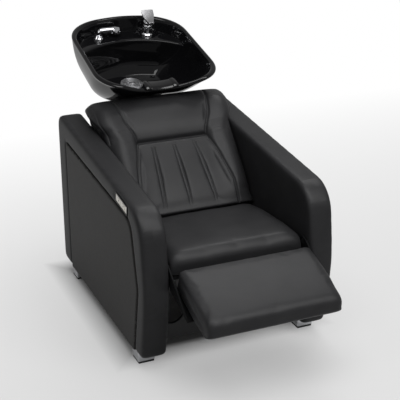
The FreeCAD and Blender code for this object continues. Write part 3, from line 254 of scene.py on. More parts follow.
def lathe(name, outline, steps=48):
    """A turned piece: an outline of radius and height pairs, spun about Z in edit mode."""
    deselect()
    bpy.ops.mesh.primitive_plane_add(size=1)
    obj = bpy.context.object
    obj.name = name
    edit_all()
    bpy.ops.mesh.merge(type="CENTER")
    bpy.ops.object.mode_set(mode="OBJECT")
    obj.data.vertices[0].co = (outline[0][0], 0, outline[0][1])
    edit_all()
    for (r0, z0), (r1, z1) in zip(outline[:-1], outline[1:]):
        bpy.ops.mesh.extrude_region_move(TRANSFORM_OT_translate={"value": (r1 - r0, 0, z1 - z0)})
    bpy.ops.mesh.select_all(action="SELECT")
    bpy.ops.mesh.spin(steps=steps, angle=math.tau, center=(0, 0, 0), axis=(0, 0, 1))
    bpy.ops.mesh.select_all(action="SELECT")
    bpy.ops.mesh.remove_doubles(threshold=0.00002)
    bpy.ops.mesh.normals_make_consistent(inside=False)
    bpy.ops.object.mode_set(mode="OBJECT")
    bpy.ops.object.shade_smooth_by_angle(angle=math.radians(38))
    return obj


# Finishes

def new_material(name):
    """An empty material with its Principled shader and the tree they live in."""
    material = bpy.data.materials.new(name)
    material.use_nodes = True
    tree = material.node_tree
    return material, tree, tree.nodes["Principled BSDF"]


def noise(tree, where, size, detail):
    """The value of a noise whose features have a given size."""
    node = add_node(tree, "ShaderNodeTexNoise", {"Scale": 1 / size, "Detail": detail}, Vector=where)
    return node.outputs["Fac"]


def streaks(tree, where, run, apart, detail):
    """The value of a noise drawn out along X, with lines at a given distance."""
    squeeze = add_node(tree, "ShaderNodeMapping", {"Scale": (run, 1 / apart, 1 / apart)}, Vector=where)
    return noise(tree, squeeze.outputs[0], 1, detail)


def tint(tree, shader, source, low, high):
    """Let the base colour run between two linear colours."""
    mix = add_node(tree, "ShaderNodeMix", {"data_type": "RGBA"})
    mix.inputs[6].default_value = (*low, 1)
    mix.inputs[7].default_value = (*high, 1)
    tree.links.new(source, mix.inputs[0])
    tree.links.new(mix.outputs[2], shader.inputs["Base Color"])


def polish(tree, shader, source, low, high):
    """Let the roughness run between two values."""
    gloss = add_node(tree, "ShaderNodeMapRange", {"To Min": low, "To Max": high}, Value=source)
    tree.links.new(gloss.outputs["Result"], shader.inputs["Roughness"])


def emboss(tree, shader, source, strength, distance):
    """Raise the surface by a bump of some height."""
    bump = add_node(tree, "ShaderNodeBump", {"Strength": strength, "Distance": distance}, Height=source)
    tree.links.new(bump.outputs["Normal"], shader.inputs["Normal"])


def calculate(tree, kind, first, second):
    """The outcome of one sum on two sockets, or on a socket and a number."""
    node = add_node(tree, "ShaderNodeMath", {"operation": kind})
    for socket, value in zip(node.inputs, (first, second)):
        if isinstance(value, (int, float)):
            socket.default_value = value
        else:
            tree.links.new(value, socket)
    return node.outputs[0]


def leather(name, hex_colour, dark_hex, roughness):
    """Faux leather, embossed and lacquered: a fine pebble grain, faint mottling and a soft sheen."""
    material, tree, shader = new_material(name)
    shader.inputs["IOR"].default_value = 1.45
    shader.inputs["Specular IOR Level"].default_value = 0.17
    where = add_node(tree, "ShaderNodeTexCoord").outputs["Object"]
    # Mottling some 60 mm across
    tint(tree, shader, noise(tree, where, 0.06, 3.0), linear(dark_hex), linear(hex_colour))
    # Pebble grain of 1.6 mm, coarser than the real 1 mm so that it shows, and pores of 4 mm
    cells = {"Scale": 1 / 0.0016, "feature": "SMOOTH_F1"}
    grain = add_node(tree, "ShaderNodeTexVoronoi", cells, Vector=where)
    pores = noise(tree, where, 0.004, 4.0)
    emboss(tree, shader, calculate(tree, "ADD", grain.outputs["Distance"], pores), 0.12, 0.0006)
    polish(tree, shader, pores, roughness - 0.06, roughness + 0.08)
    return material


def glaze(name, hex_colour):
    """Glazed fireclay: a near-black body under a clear, mirror-like glaze with a very slight ripple."""
    material, tree, shader = new_material(name)
    shader.inputs["IOR"].default_value = 1.36
    where = add_node(tree, "ShaderNodeTexCoord").outputs["Object"]
    # Iron specks of 2 mm, and a ripple of the glaze some 45 mm across
    specks = noise(tree, where, 0.002, 2.0)
    tint(tree, shader, specks, linear(hex_colour), linear("#101012"))
    emboss(tree, shader, noise(tree, where, 0.045, 1.0), 0.05, 0.002)
    polish(tree, shader, specks, 0.04, 0.08)
    return material


def metal(name, hex_colour, roughness, brushed=0.0):
    """Plated or bare metal: polished chrome shows faint smears, brushed metal shows lines along X."""
    material, tree, shader = new_material(name)
    shader.inputs["Metallic"].default_value = 1.0
    where = add_node(tree, "ShaderNodeTexCoord").outputs["Object"]
    smear = noise(tree, where, 0.03, 3.0)
    colour = linear(hex_colour)
    tint(tree, shader, smear, colour, [0.86 * c for c in colour])
    polish(tree, shader, smear, roughness * 0.7, roughness * 1.4)
    if brushed:
        # Brush lines 1.5 mm apart, drawn coarser than the real 0.2 mm
        emboss(tree, shader, streaks(tree, where, 40, 0.0015, 2.0), brushed, 0.0003)
    return material


def coating(name, hex_colour, roughness, grain, bump_strength, ior=1.5):
    """Painted, moulded or rubbery surface: a fine grain of a given size and a slight change of shade."""
    material, tree, shader = new_material(name)
    shader.inputs["IOR"].default_value = ior
    where = add_node(tree, "ShaderNodeTexCoord").outputs["Object"]
    speck = noise(tree, where, grain, 3.0)
    colour = linear(hex_colour)
    # The shade changes over some 50 mm
    tint(tree, shader, noise(tree, where, 0.05, 2.0), [0.8 * c for c in colour], [1.15 * c for c in colour])
    polish(tree, shader, speck, roughness - 0.05, roughness + 0.05)
    emboss(tree, shader, speck, bump_strength, 0.0005)
    return material


FINISHES = {}


def finish_of(slot):
    """The material of a slot, made once."""
    if not FINISHES:
        colours = bpy.context.scene.backwash_colours
        FINISHES.update({
            "black_upholstery": leather("faux_leather_black", colours.leather, "#19191a", 0.4),
            "inset_upholstery": leather("faux_leather_panel", colours.panel, "#1d1c1b", 0.46),
            "black_ceramic": glaze("glazed_fireclay_black", colours.glaze),
            "chrome": metal("chrome_plate", "#d6d7da", 0.07),
            "satin_chrome": metal("chrome_plate_satin", "#b2b2b4", 0.34),
            "steel": metal("ground_steel", "#8f9094", 0.3, 0.15),
            "silver_plate": metal("satin_aluminium", "#efece5", 0.42, 0.2),
            "brass": metal("turned_brass", "#b6924e", 0.25),
            "black_paint": coating("powder_coat_black", "#161618", 0.5, 0.0015, 0.15),
            "matt_paint": coating("matt_paint_black", "#070708", 0.75, 0.0015, 0.1, 1.2),
            "black_board": coating("film_faced_board", "#141415", 0.5, 0.003, 0.1),
            "black_plastic": coating("abs_black", "#131315", 0.42, 0.001, 0.1),
            "black_rubber": coating("rubber_black", "#0d0d0d", 0.7, 0.001, 0.2),
            "gel_rubber": coating("gel_pad_black", "#060607", 0.14, 0.004, 0.02),
        })
    return FINISHES[slot]


# Sizes and colours that a user would change

SEAM_DEPTH = 0.005
RIM_ROUND = 0.006


class BackwashSizes(bpy.types.PropertyGroup):
    """Sizes of the upholstery and the glaze."""
    voxel: bpy.props.FloatProperty(name="Cushion mesh", description="Mesh size of the cushions",
                                   default=0.006, unit="LENGTH")
    seam_depth: bpy.props.FloatProperty(name="Seam depth", description="How deep a sewn line is drawn in",
                                        default=SEAM_DEPTH, unit="LENGTH")
    stitch: bpy.props.FloatProperty(name="Stitch length", description="Length of one stitch of the thread",
                                    default=0.006, unit="LENGTH")
    rim_round: bpy.props.FloatProperty(name="Rim round", description="Rounding of the basin's rim",
                                       default=RIM_ROUND, unit="LENGTH")


class BackwashColours(bpy.types.PropertyGroup):
    """Colours as sRGB hex values."""
    leather: bpy.props.StringProperty(name="Leather", description="Upholstery of arms and cushions",
                                      default="#232324")
    panel: bpy.props.StringProperty(name="Arm panel", description="Upholstery of the arms' inset panels",
                                    default="#272625")
    glaze: bpy.props.StringProperty(name="Glaze", description="Glaze of the basin", default="#0c0c0d")
    floor: bpy.props.StringProperty(name="Floor", description="Floor in front", default="#a9a9a9")


# Upholstery

def ease(values, low, high):
    """A smooth step of an array from 0 at low to 1 at high."""
    share = np.clip((values - low) / (high - low), 0, 1)
    return share * share * (3 - 2 * share)


def dress(obj, name, body, slot, node):
    """Shade a padded piece, give it its leather and let it stand for its solid."""
    pick(obj)
    bpy.ops.object.shade_smooth()
    finish_piece(obj, name, body, finish_of(slot), slot, node)


# Rounds of smoothing, more where the padding is thick
ARM_ROUNDS = 30
PANEL_ROUNDS = 3
SEAT_ROUNDS = 24
LEG_REST_ROUNDS = 40


class BACKWASH_OT_arms(bpy.types.Operator):
    """Upholster the two arms and the inset panels in their outer faces"""
    bl_idname = "backwash.arms"
    bl_label = "Arms"

    def execute(self, context):
        voxel = context.scene.backwash_sizes.voxel
        for side in ("left", "right"):
            arm = soft_copy(f"{side}_arm", voxel, ARM_ROUNDS)
            dress(arm, f"{side}_arm_padding", "chair", "black_upholstery", f"{side}_arm")
            panel = soft_copy(f"{side}_arm_inset", voxel, PANEL_ROUNDS)
            dress(panel, f"{side}_arm_panel", "chair", "inset_upholstery", f"{side}_arm_inset")
        return {"FINISHED"}


class BACKWASH_OT_seat(bpy.types.Operator):
    """Fill and upholster the seat cushion"""
    bl_idname = "backwash.seat"
    bl_label = "Seat cushion"

    def execute(self, context):
        obj = soft_copy("seat_cushion", context.scene.backwash_sizes.voxel, 4)
        low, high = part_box("seat_cushion")
        points = points_of(obj)
        free = ease(points[:, 2], low.z, low.z + 0.03) * ease(high.y - points[:, 1], 0, 0.04)
        fill_cushion(obj, 0.005, free)
        smooth_out(obj, SEAT_ROUNDS)
        dress(obj, "seat_cushion_padding", "chair", "black_upholstery", "seat_cushion")
        return {"FINISHED"}


# The back: its length, its half width between the arms and what is added to that over them
BACK_LONG = 0.500
BACK_HALF = 0.2555
BACK_SWELL = 0.030
BACK_ALONG = Vector((0, math.cos(BACK_ANGLE), math.sin(BACK_ANGLE)))
BACK_OUT = Vector((0, -math.sin(BACK_ANGLE), math.cos(BACK_ANGLE)))
BACK_AXES = np.array([(1, 0, 0), tuple(BACK_ALONG), tuple(BACK_OUT)])


def on_back(x, along, out):
    """A point given up the slope of the back and out from its face."""
    return BACK_FOOT + Vector((x, 0, 0)) + BACK_ALONG * along + BACK_OUT * out


# Line of the arms' tops, from their front end up to the rear
ARM_NOSE = (-0.432, 0.573)
ARM_RISE = 0.1006

# Sewn lines of the back, as places across and up its slope. A channel is a pair of lines
CHANNEL_HALF = 0.0048
CHANNELS = [[(k * 0.101 + side * CHANNEL_HALF, 0.02), (k * 0.082 + side * CHANNEL_HALF, 0.266)]
            for k in (-1, 0, 1) for side in (-1, 1)]
BOLSTERS = [[(k * 0.186, 0.0), (k * 0.184, 0.09), (k * 0.162, 0.2), (k * 0.136, 0.293),
             (k * 0.152, 0.38), (k * 0.170, 0.485)] for k in (-1, 1)]
ROLL = [[(-0.134, 0.293), (0.134, 0.293)]]
EDGES = [[(k * 0.236, 0.30), (k * 0.238, 0.47)] for k in (-1, 1)]
# Reach of the finer mesh beside a line, radius of the thread and its distance from a bolster's seam
SEAM_REACH = 0.0085
THREAD = 0.0007
STITCH_ASIDE = 0.008


def stitch_lines(cushion, lines, name, length):
    """Rows of thread: one stitch modelled, then copied along the lines on the cushion's face."""
    deselect()
    bpy.ops.mesh.primitive_uv_sphere_add(segments=6, ring_count=4, radius=THREAD)
    first = bpy.context.object
    edit_all()
    bpy.ops.transform.resize(value=(length * 0.36 / THREAD, 1, 0.8))
    bpy.ops.object.mode_set(mode="OBJECT")
    bpy.ops.object.shade_smooth()
    copies = []
    for line in lines:
        for a, b in zip(line[:-1], line[1:]):
            a, b = Vector((*a, 0)), Vector((*b, 0))
            for step in range(int((b - a).length / length)):
                place = a + (b - a).normalized() * length * (step + 0.5)
                hit, spot, normal, _ = cushion.ray_cast(on_back(place.x, place.y, 0.12), -BACK_OUT)
                if not hit:
                    continue
                run = (Vector((b.x - a.x, 0, 0)) + BACK_ALONG * (b.y - a.y)).normalized()
                side = normal.cross(run).normalized()
                run = side.cross(normal)
                turn = Matrix((run, side, normal)).transposed().to_4x4()
                copy = first.copy()
                copy.data = first.data.copy()
                copy.data.transform(Matrix.Translation(spot + normal * 0.0002) @ turn)
                bpy.context.scene.collection.objects.link(copy)
                copies.append(copy)
    deselect()
    for copy in copies:
        copy.select_set(True)
    bpy.context.view_layer.objects.active = copies[0]
    bpy.ops.object.join()
    rows = bpy.context.object
    pick(first)
    bpy.ops.object.delete()
    finish_piece(rows, name, "chair", finish_of("black_upholstery"), "black_upholstery")


def refine_seams(obj, lines):
    """Split the faces along the sewn lines, so that the narrow folds come out clean."""
    pick(obj)
    count = len(obj.data.polygons)
    middles = np.empty(count * 3)
    obj.data.polygons.foreach_get("center", middles)
    facing = np.empty(count * 3)
    obj.data.polygons.foreach_get("normal", facing)
    local = (middles.reshape(-1, 3) - np.array(BACK_FOOT)) @ BACK_AXES.T
    near = np.min([line_distance(local[:, :2], line) for line in lines], axis=0) < SEAM_REACH
    near &= facing.reshape(-1, 3) @ np.array(BACK_OUT) > 0.1
    bpy.ops.object.mode_set(mode="EDIT")
    bpy.ops.mesh.select_mode(type="FACE")
    bpy.ops.mesh.select_all(action="DESELECT")
    bpy.ops.object.mode_set(mode="OBJECT")
    obj.data.polygons.foreach_set("select", near)
    bpy.ops.object.mode_set(mode="EDIT")
    bpy.ops.mesh.subdivide(number_cuts=1)
    bpy.ops.object.mode_set(mode="OBJECT")


def square_top(local):
    """Draw the top corners of the back out to a tight round, as they are over a board."""
    across = np.abs(local[:, 0])
    marks = np.arange(0, 0.255, 0.008)
    tops = np.array([local[np.abs(across - mark) < 0.006, 1].max() for mark in marks])
    start = 0.36
    full = BACK_LONG - 0.024 * ease(across, 0.222, 0.275)
    scale = np.minimum((full - start) / (np.interp(across, marks, tops) - start), 1.7)
    upper = local[:, 1] > start
    local[upper, 1] = start + (local[upper, 1] - start) * scale[upper]


def fill_bolsters(local, facing):
    """Carry the bolsters past the crease under the head roll and round them."""
    across = np.abs(local[:, 0])
    side = (across > 0.165) & (across < 0.225) & (facing > 0.5)
    marks = np.arange(0.18, 0.41, 0.006)
    crest = np.array([local[side & (np.abs(local[:, 1] - mark) < 0.006), 2].mean() for mark in marks])
    line = np.interp(marks, marks[[0, -1]], crest[[0, -1]])
    lift = np.interp(local[:, 1], marks, np.maximum(line - crest, 0), 0, 0) * ease(across, 0.13, 0.16)
    round_off = 0.010 * np.exp(-((across - 0.208) / 0.042) ** 2)
    round_off = round_off * ease(local[:, 1], 0.01, 0.09) * (1 - ease(local[:, 1], 0.43, 0.48))
    local[:, 2] += (lift + round_off) * facing


class BACKWASH_OT_back(bpy.types.Operator):
    """Fill and upholster the back: head roll, sewn channels, side bolsters and their stitching"""
    bl_idname = "backwash.back"
    bl_label = "Back cushion"

    def execute(self, context):
        sizes = context.scene.backwash_sizes
        obj = soft_copy("back_cushion", sizes.voxel, 2)
        local = (points_of(obj) - np.array(BACK_FOOT)) @ BACK_AXES.T
        free = ease(local[:, 1], 0, 0.05) * ease(local[:, 2], -0.112, -0.08)
        fill_cushion(obj, 0.005, free)
        refine_seams(obj, CHANNELS + BOLSTERS + ROLL + EDGES)
        local = (points_of(obj) - np.array(BACK_FOOT)) @ BACK_AXES.T
        facing = ease(normals_of(obj) @ np.array(BACK_OUT), 0.1, 0.6)
        square_top(local)
        fill_bolsters(local, facing)
        fade = ease(local[:, 1], 0.01, 0.06)
        sink = np.zeros(len(local))
        # Lines with their depth, half width and weight
        rows = (
            (CHANNELS, 0.0022, 0.0022, fade),
            (BOLSTERS, 0.006, 0.0042, 1),
            (ROLL, 0.010, 0.006, 1),
            (EDGES, 0.003, 0.003, 1),
        )
        for lines, depth, width, weight in rows:
            for line in lines:
                gap = line_distance(local[:, :2], line)
                sink = np.maximum(sink, depth * weight * np.exp(-(gap / width) ** 2))
        # The leather is drawn in a little on both sides of a channel
        for line in CHANNELS[::2]:
            gap = line_distance(local[:, :2] - np.array((CHANNEL_HALF, 0)), line)
            sink = sink + 0.0012 * fade * np.exp(-(gap / 0.014) ** 2)
        local[:, 2] -= sink * facing * sizes.seam_depth / SEAM_DEPTH
        points = local @ BACK_AXES + np.array(BACK_FOOT)
        # Over the arms the sides swell out, between the arms they stay flat
        arm_top = ARM_NOSE[1] + (points[:, 1] - ARM_NOSE[0]) * ARM_RISE
        over = ease(points[:, 2] - arm_top, -0.002, 0.050)
        limit = BACK_HALF + BACK_SWELL * over
        points[:, 0] = np.clip(points[:, 0] * (1.015 + 0.095 * over), -limit, limit)
        set_points(obj, points)
        dress(obj, "back_cushion_padding", "chair", "black_upholstery", "back_cushion")
        stitch_lines(obj, CHANNELS, "back_channel_stitches", sizes.stitch)
        seams = [[(x - math.copysign(STITCH_ASIDE, x), s) for x, s in line] for line in BOLSTERS]
        stitch_lines(obj, seams, "back_bolster_stitches", sizes.stitch)
        return {"FINISHED"}


# How far the leg rest swells past its solid on each side
LEG_REST_SWELL = 0.007


class BACKWASH_OT_leg_rest(bpy.types.Operator):
    """Fill and upholster the leg rest"""
    bl_idname = "backwash.leg_rest"
    bl_label = "Leg rest"

    def execute(self, context):
        obj = soft_copy("leg_rest_cushion", context.scene.backwash_sizes.voxel, 2)
        facing = ease(-normals_of(obj)[:, 2], 0.2, 0.7)
        low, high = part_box("leg_rest_cushion")
        points = points_of(obj)
        across = (points[:, 1] - low.y) / (high.y - low.y)
        front = obj.vertex_groups.new(name="front")
        for number, weight in enumerate(1 - ease(across, 0.18, 0.4)):
            front.add([number], float(weight * (1 - 0.5 * facing[number])), "REPLACE")
        smooth_out(obj, LEG_REST_ROUNDS, "front")
        fill_cushion(obj, 0.003, 1 - facing)
        points = points_of(obj)
        points[:, 0] *= (high.x + LEG_REST_SWELL) / np.abs(points[:, 0]).max()
        set_points(obj, points)
        dress(obj, "leg_rest_padding", "leg_rest", "black_upholstery", "leg_rest_cushion")
        return {"FINISHED"}


# Basin

RIM_WIDE = 0.018
RIM_ROLL = 0.009
FRONT_HALF = 0.246
REAR_HALF = 0.236
CORNER_ROUNDS = (0.135, 0.135, 0.145, 0.145)
CROWN_HIGH = 0.010
CROWN_WIDE = 0.11
DRAIN_SEAT = 0.0475
BASIN_LONG = 0.550
BASIN_DEEP = 0.218
BASIN_FLOOR = 0.203
DECK_SINK = 0.052
DECK_ARC = 0.33
DECK_EDGE = 0.450
DRAIN_AT = 0.358
TAP_AT = 0.492
TAP_APART = 0.105
NECK_RADIUS = 0.31
NECK_SINK = 0.05
SERVICE_LOW = 0.142
# Share of the depth, draw of the sides, the front and the rear, and the size left to the corners
BASIN_LEVELS = np.array([
    (0, 0, 0, 0, 1),
    (0.25, 0.03, 0.1, 0.014, 0.98),
    (0.65, 0.15, 0.265, 0.065, 0.88),
    (1, 0.41, 0.455, 0.158, 0.64),
])


def basin_ring(share, wall):
    """One level of the basin as a ring of flat places, its corners rounded, drawn in by a wall."""
    fit = [np.polyfit(BASIN_LEVELS[:, 0], BASIN_LEVELS[:, k], 3) for k in range(1, 5)]
    side, front, rear, shrink = [np.polyval(f, share) for f in fit]
    near = FRONT_HALF * (1 - side) - wall
    far = REAR_HALF - FRONT_HALF * side - wall
    y0 = wall + front * BASIN_LONG
    y1 = BASIN_LONG - wall - rear * BASIN_LONG
    corners = [np.array(c) for c in ((-near, y0), (near, y0), (far, y1), (-far, y1))]
    most = 0.48 * min(2 * far, y1 - y0)
    rounds = [min(r * shrink, most) for r in CORNER_ROUNDS]
    arcs = []
    for k, corner in enumerate(corners):
        last, after = corners[k - 1] - corner, corners[(k + 1) % 4] - corner
        last, after = last / np.linalg.norm(last), after / np.linalg.norm(after)
        half = math.acos(last @ after) / 2
        middle = corner + (last + after) / np.linalg.norm(last + after) * rounds[k] / math.sin(half)
        reach = rounds[k] / math.tan(half)
        a0 = math.atan2(*(corner + last * reach - middle)[::-1])
        a1 = math.atan2(*(corner + after * reach - middle)[::-1])
        turn = (a1 - a0 + math.pi) % math.tau - math.pi
        angles = a0 + turn * np.linspace(0, 1, 11)
        arcs.append(middle + rounds[k] * np.stack([np.cos(angles), np.sin(angles)], -1))
    ring = []
    for k, arc in enumerate(arcs):
        ring.extend(arc)
        end, start = arc[-1], arcs[(k + 1) % 4][0]
        ring.extend(end + (start - end) * step / 10 for step in range(1, 10))
    return np.array(ring)


def wall_places(depths, full, wall):
    """Flat places of a ring whose points lie at different depths of the form."""
    steps = 40
    table = np.array([basin_ring(share, wall) for share in np.linspace(0, 1, steps + 1)])
    spot = np.clip(depths / full, 0, 1) * steps
    low = np.minimum(spot.astype(int), steps - 1)
    part = (spot - low)[:, None]
    which = np.arange(len(depths))
    return table[low, which] * (1 - part) + table[low + 1, which] * part


def clamp_to_deck(ring, most):
    """Draw the rear of a ring in to the curved front edge of the tap deck."""
    centre = np.array((0, DECK_EDGE - DECK_ARC))
    away = ring[:, :2] - centre
    length = np.linalg.norm(away, axis=1, keepdims=True)
    out = ring.copy()
    out[:, :2] = centre + away * np.minimum(1, most / np.maximum(length, 1e-9))
    return out


def ring_piece(rings, cap_first=True, cap_last=True):
    """A piece drawn ring by ring: a circle is extruded once for each ring, and its ends are closed."""
    count = len(rings[0])
    deselect()
    bpy.ops.mesh.primitive_circle_add(vertices=count, radius=0.1)
    obj = bpy.context.object
    edit_all()
    for _ in rings[1:]:
        bpy.ops.mesh.extrude_region_move(TRANSFORM_OT_translate={"value": (0, 0, 0.01)})
    bpy.ops.object.mode_set(mode="OBJECT")
    set_points(obj, np.vstack(rings))
    ends = ([0] if cap_first else []) + ([len(rings) - 1] if cap_last else [])
    for end in ends:
        bpy.ops.object.mode_set(mode="EDIT")
        bpy.ops.mesh.select_mode(type="VERT")
        bpy.ops.mesh.select_all(action="DESELECT")
        bpy.ops.object.mode_set(mode="OBJECT")
        for k in range(end * count, (end + 1) * count):
            obj.data.vertices[k].select = True
        bpy.ops.object.mode_set(mode="EDIT")
        bpy.ops.mesh.edge_face_add()
        bpy.ops.mesh.inset(thickness=0.002)
        bpy.ops.object.mode_set(mode="OBJECT")
    edit_all()
    bpy.ops.mesh.normals_make_consistent(inside=False)
    bpy.ops.object.mode_set(mode="OBJECT")
    return obj


def level(places, downs):
    """A ring of points from flat places and depths below the rim."""
    return np.column_stack([places, -downs])


class BACKWASH_OT_basin(bpy.types.Operator):
    """Throw the glazed basin: outer shell, rolled rim, bowl, tap deck and neck notch"""
    bl_idname = "backwash.basin"
    bl_label = "Basin"

    def execute(self, context):
        rim = basin_ring(0, 0)
        inside = np.maximum(NECK_RADIUS ** 2 - rim[:, 0] ** 2, 0)
        notch = np.maximum(NECK_SINK - (NECK_RADIUS - np.sqrt(inside)), 0) * (rim[:, 1] < 0.12)
        # The ends of the notch run out softly
        notch = np.where(notch > 0, notch * ease(notch, -0.004, 0.012), 0)
        rings = []
        for share in (1.0, 0.95, 0.86, 0.74, 0.6, 0.46, 0.32, 0.2, 0.12, 0.07):
            downs = notch + (BASIN_DEEP - notch) * share
            places = wall_places(downs, BASIN_DEEP, 0)
            under = downs > SERVICE_LOW
            places[under, 1] = np.minimum(places[under, 1], DECK_EDGE + 0.015)
            rings.append(level(places, downs))
        roll = context.scene.backwash_sizes.rim_round / RIM_ROUND
        for turn in np.linspace(0, math.pi, 9):
            inset = RIM_WIDE * (1 - math.cos(turn)) / 2
            drop = RIM_ROLL * (1 - math.sin(turn)) * roll
            rings.append(level(wall_places(notch, BASIN_DEEP, inset), notch + drop))
        # Down the inside: the upper wall, the deck with its rounded edge, and the bowl
        inner = [(1, down) for down in (0.018, 0.028, 0.040, 0.048, 0.0508)]
        inner += [(0.52, 0.0518), (0.46, 0.052), (0.40, 0.0521), (0.36, 0.0522), (0.340, 0.0525),
                  (0.334, 0.0535), (0.331, 0.0555), (DECK_ARC, 0.060)]
        inner += [(DECK_ARC - 0.03 * ease(np.array(down), 0.16, 0.205), down)
                  for down in (0.075, 0.095, 0.12, 0.145, 0.168, 0.184, 0.193, 0.198)]
        for most, down in inner:
            downs = notch + (BASIN_FLOOR - notch) * down / BASIN_FLOOR
            rings.append(clamp_to_deck(level(wall_places(downs, BASIN_FLOOR, RIM_WIDE), downs), most))
        last = rings[-1]
        middle = np.array((0, DRAIN_AT, -BASIN_FLOOR))
        away = (last - middle) * np.array((1, 1, 0))
        circle = middle + away * DRAIN_SEAT / np.linalg.norm(away, axis=1, keepdims=True)
        for share in (0.08, 0.2, 0.35, 0.55, 0.8, 1.0):
            ring = last * (1 - share) + circle * share
            ring[:, 2] = -BASIN_FLOOR + 0.005 * (1 - share) ** 2
            rings.append(ring)
        for radius, down in ((0.7, 0.0004), (0.52, 0.003), (0.5, 0.014)):
            rings.append(middle + (circle - middle) * radius - np.array((0, 0, down)))
        # The rear of the rim is crowned behind the taps
        for ring in rings:
            crown = np.exp(-(ring[:, 0] / CROWN_WIDE) ** 2) * ease(ring[:, 1], 0.42, 0.53)
            ring[:, 2] += CROWN_HIGH * crown * (1 - ease(-ring[:, 2], 0.005, 0.05))
        obj = ring_piece(rings, True, False)
        add_subdivision(obj, 1)
        apply_all(obj)
        bpy.ops.object.shade_smooth()
        lean_basin(obj)
        finish_piece(obj, "basin_shell", "basin", finish_of("black_ceramic"), "black_ceramic", "basin")
        return {"FINISHED"}


NECK_REST_HALF = 0.0600
NECK_REST_LONG = 0.046
NECK_REST_THICK = 0.0105


class BACKWASH_OT_neck_rest(bpy.types.Operator):
    """Mould the gel pad that lies in the neck notch"""
    bl_idname = "backwash.neck_rest"
    bl_label = "Neck rest"

    def execute(self, context):
        deselect()
        bpy.ops.mesh.primitive_grid_add(x_subdivisions=36, y_subdivisions=14, size=2)
        obj = context.object
        across, along = points_of(obj)[:, 0], points_of(obj)[:, 1]
        x = across * NECK_REST_HALF
        lip = basin_ring(NECK_SINK / BASIN_DEEP, 0)[:, 1].min()
        y = lip - 0.006 + (along + 1) / 2 * NECK_REST_LONG
        # A ridge at each end, and the front edge turned down over the rim
        lift = 0.0035 * ease(np.abs(across), 0.78, 0.86) * (1 - ease(np.abs(across), 0.93, 1.0))
        lift = lift - 0.004 * ease(-along, 0.6, 1.0) + 0.002 * (1 - along ** 2)
        z = -NECK_SINK + 0.0012 + NECK_RADIUS - np.sqrt(NECK_RADIUS ** 2 - x ** 2) + lift
        set_points(obj, np.column_stack([x, y, z]))
        pad = obj.modifiers.new("Pad", "SOLIDIFY")
        pad.thickness = NECK_REST_THICK
        pad.offset = 1
        add_bevel(obj, 0.004, 3, 50)
        add_subdivision(obj, 1)
        apply_all(obj)
        bpy.ops.object.shade_smooth()
        lean_basin(obj)
        finish_piece(obj, "neck_rest_pad", "basin", finish_of("gel_rubber"), "gel_rubber", "neck_rest")
        return {"FINISHED"}


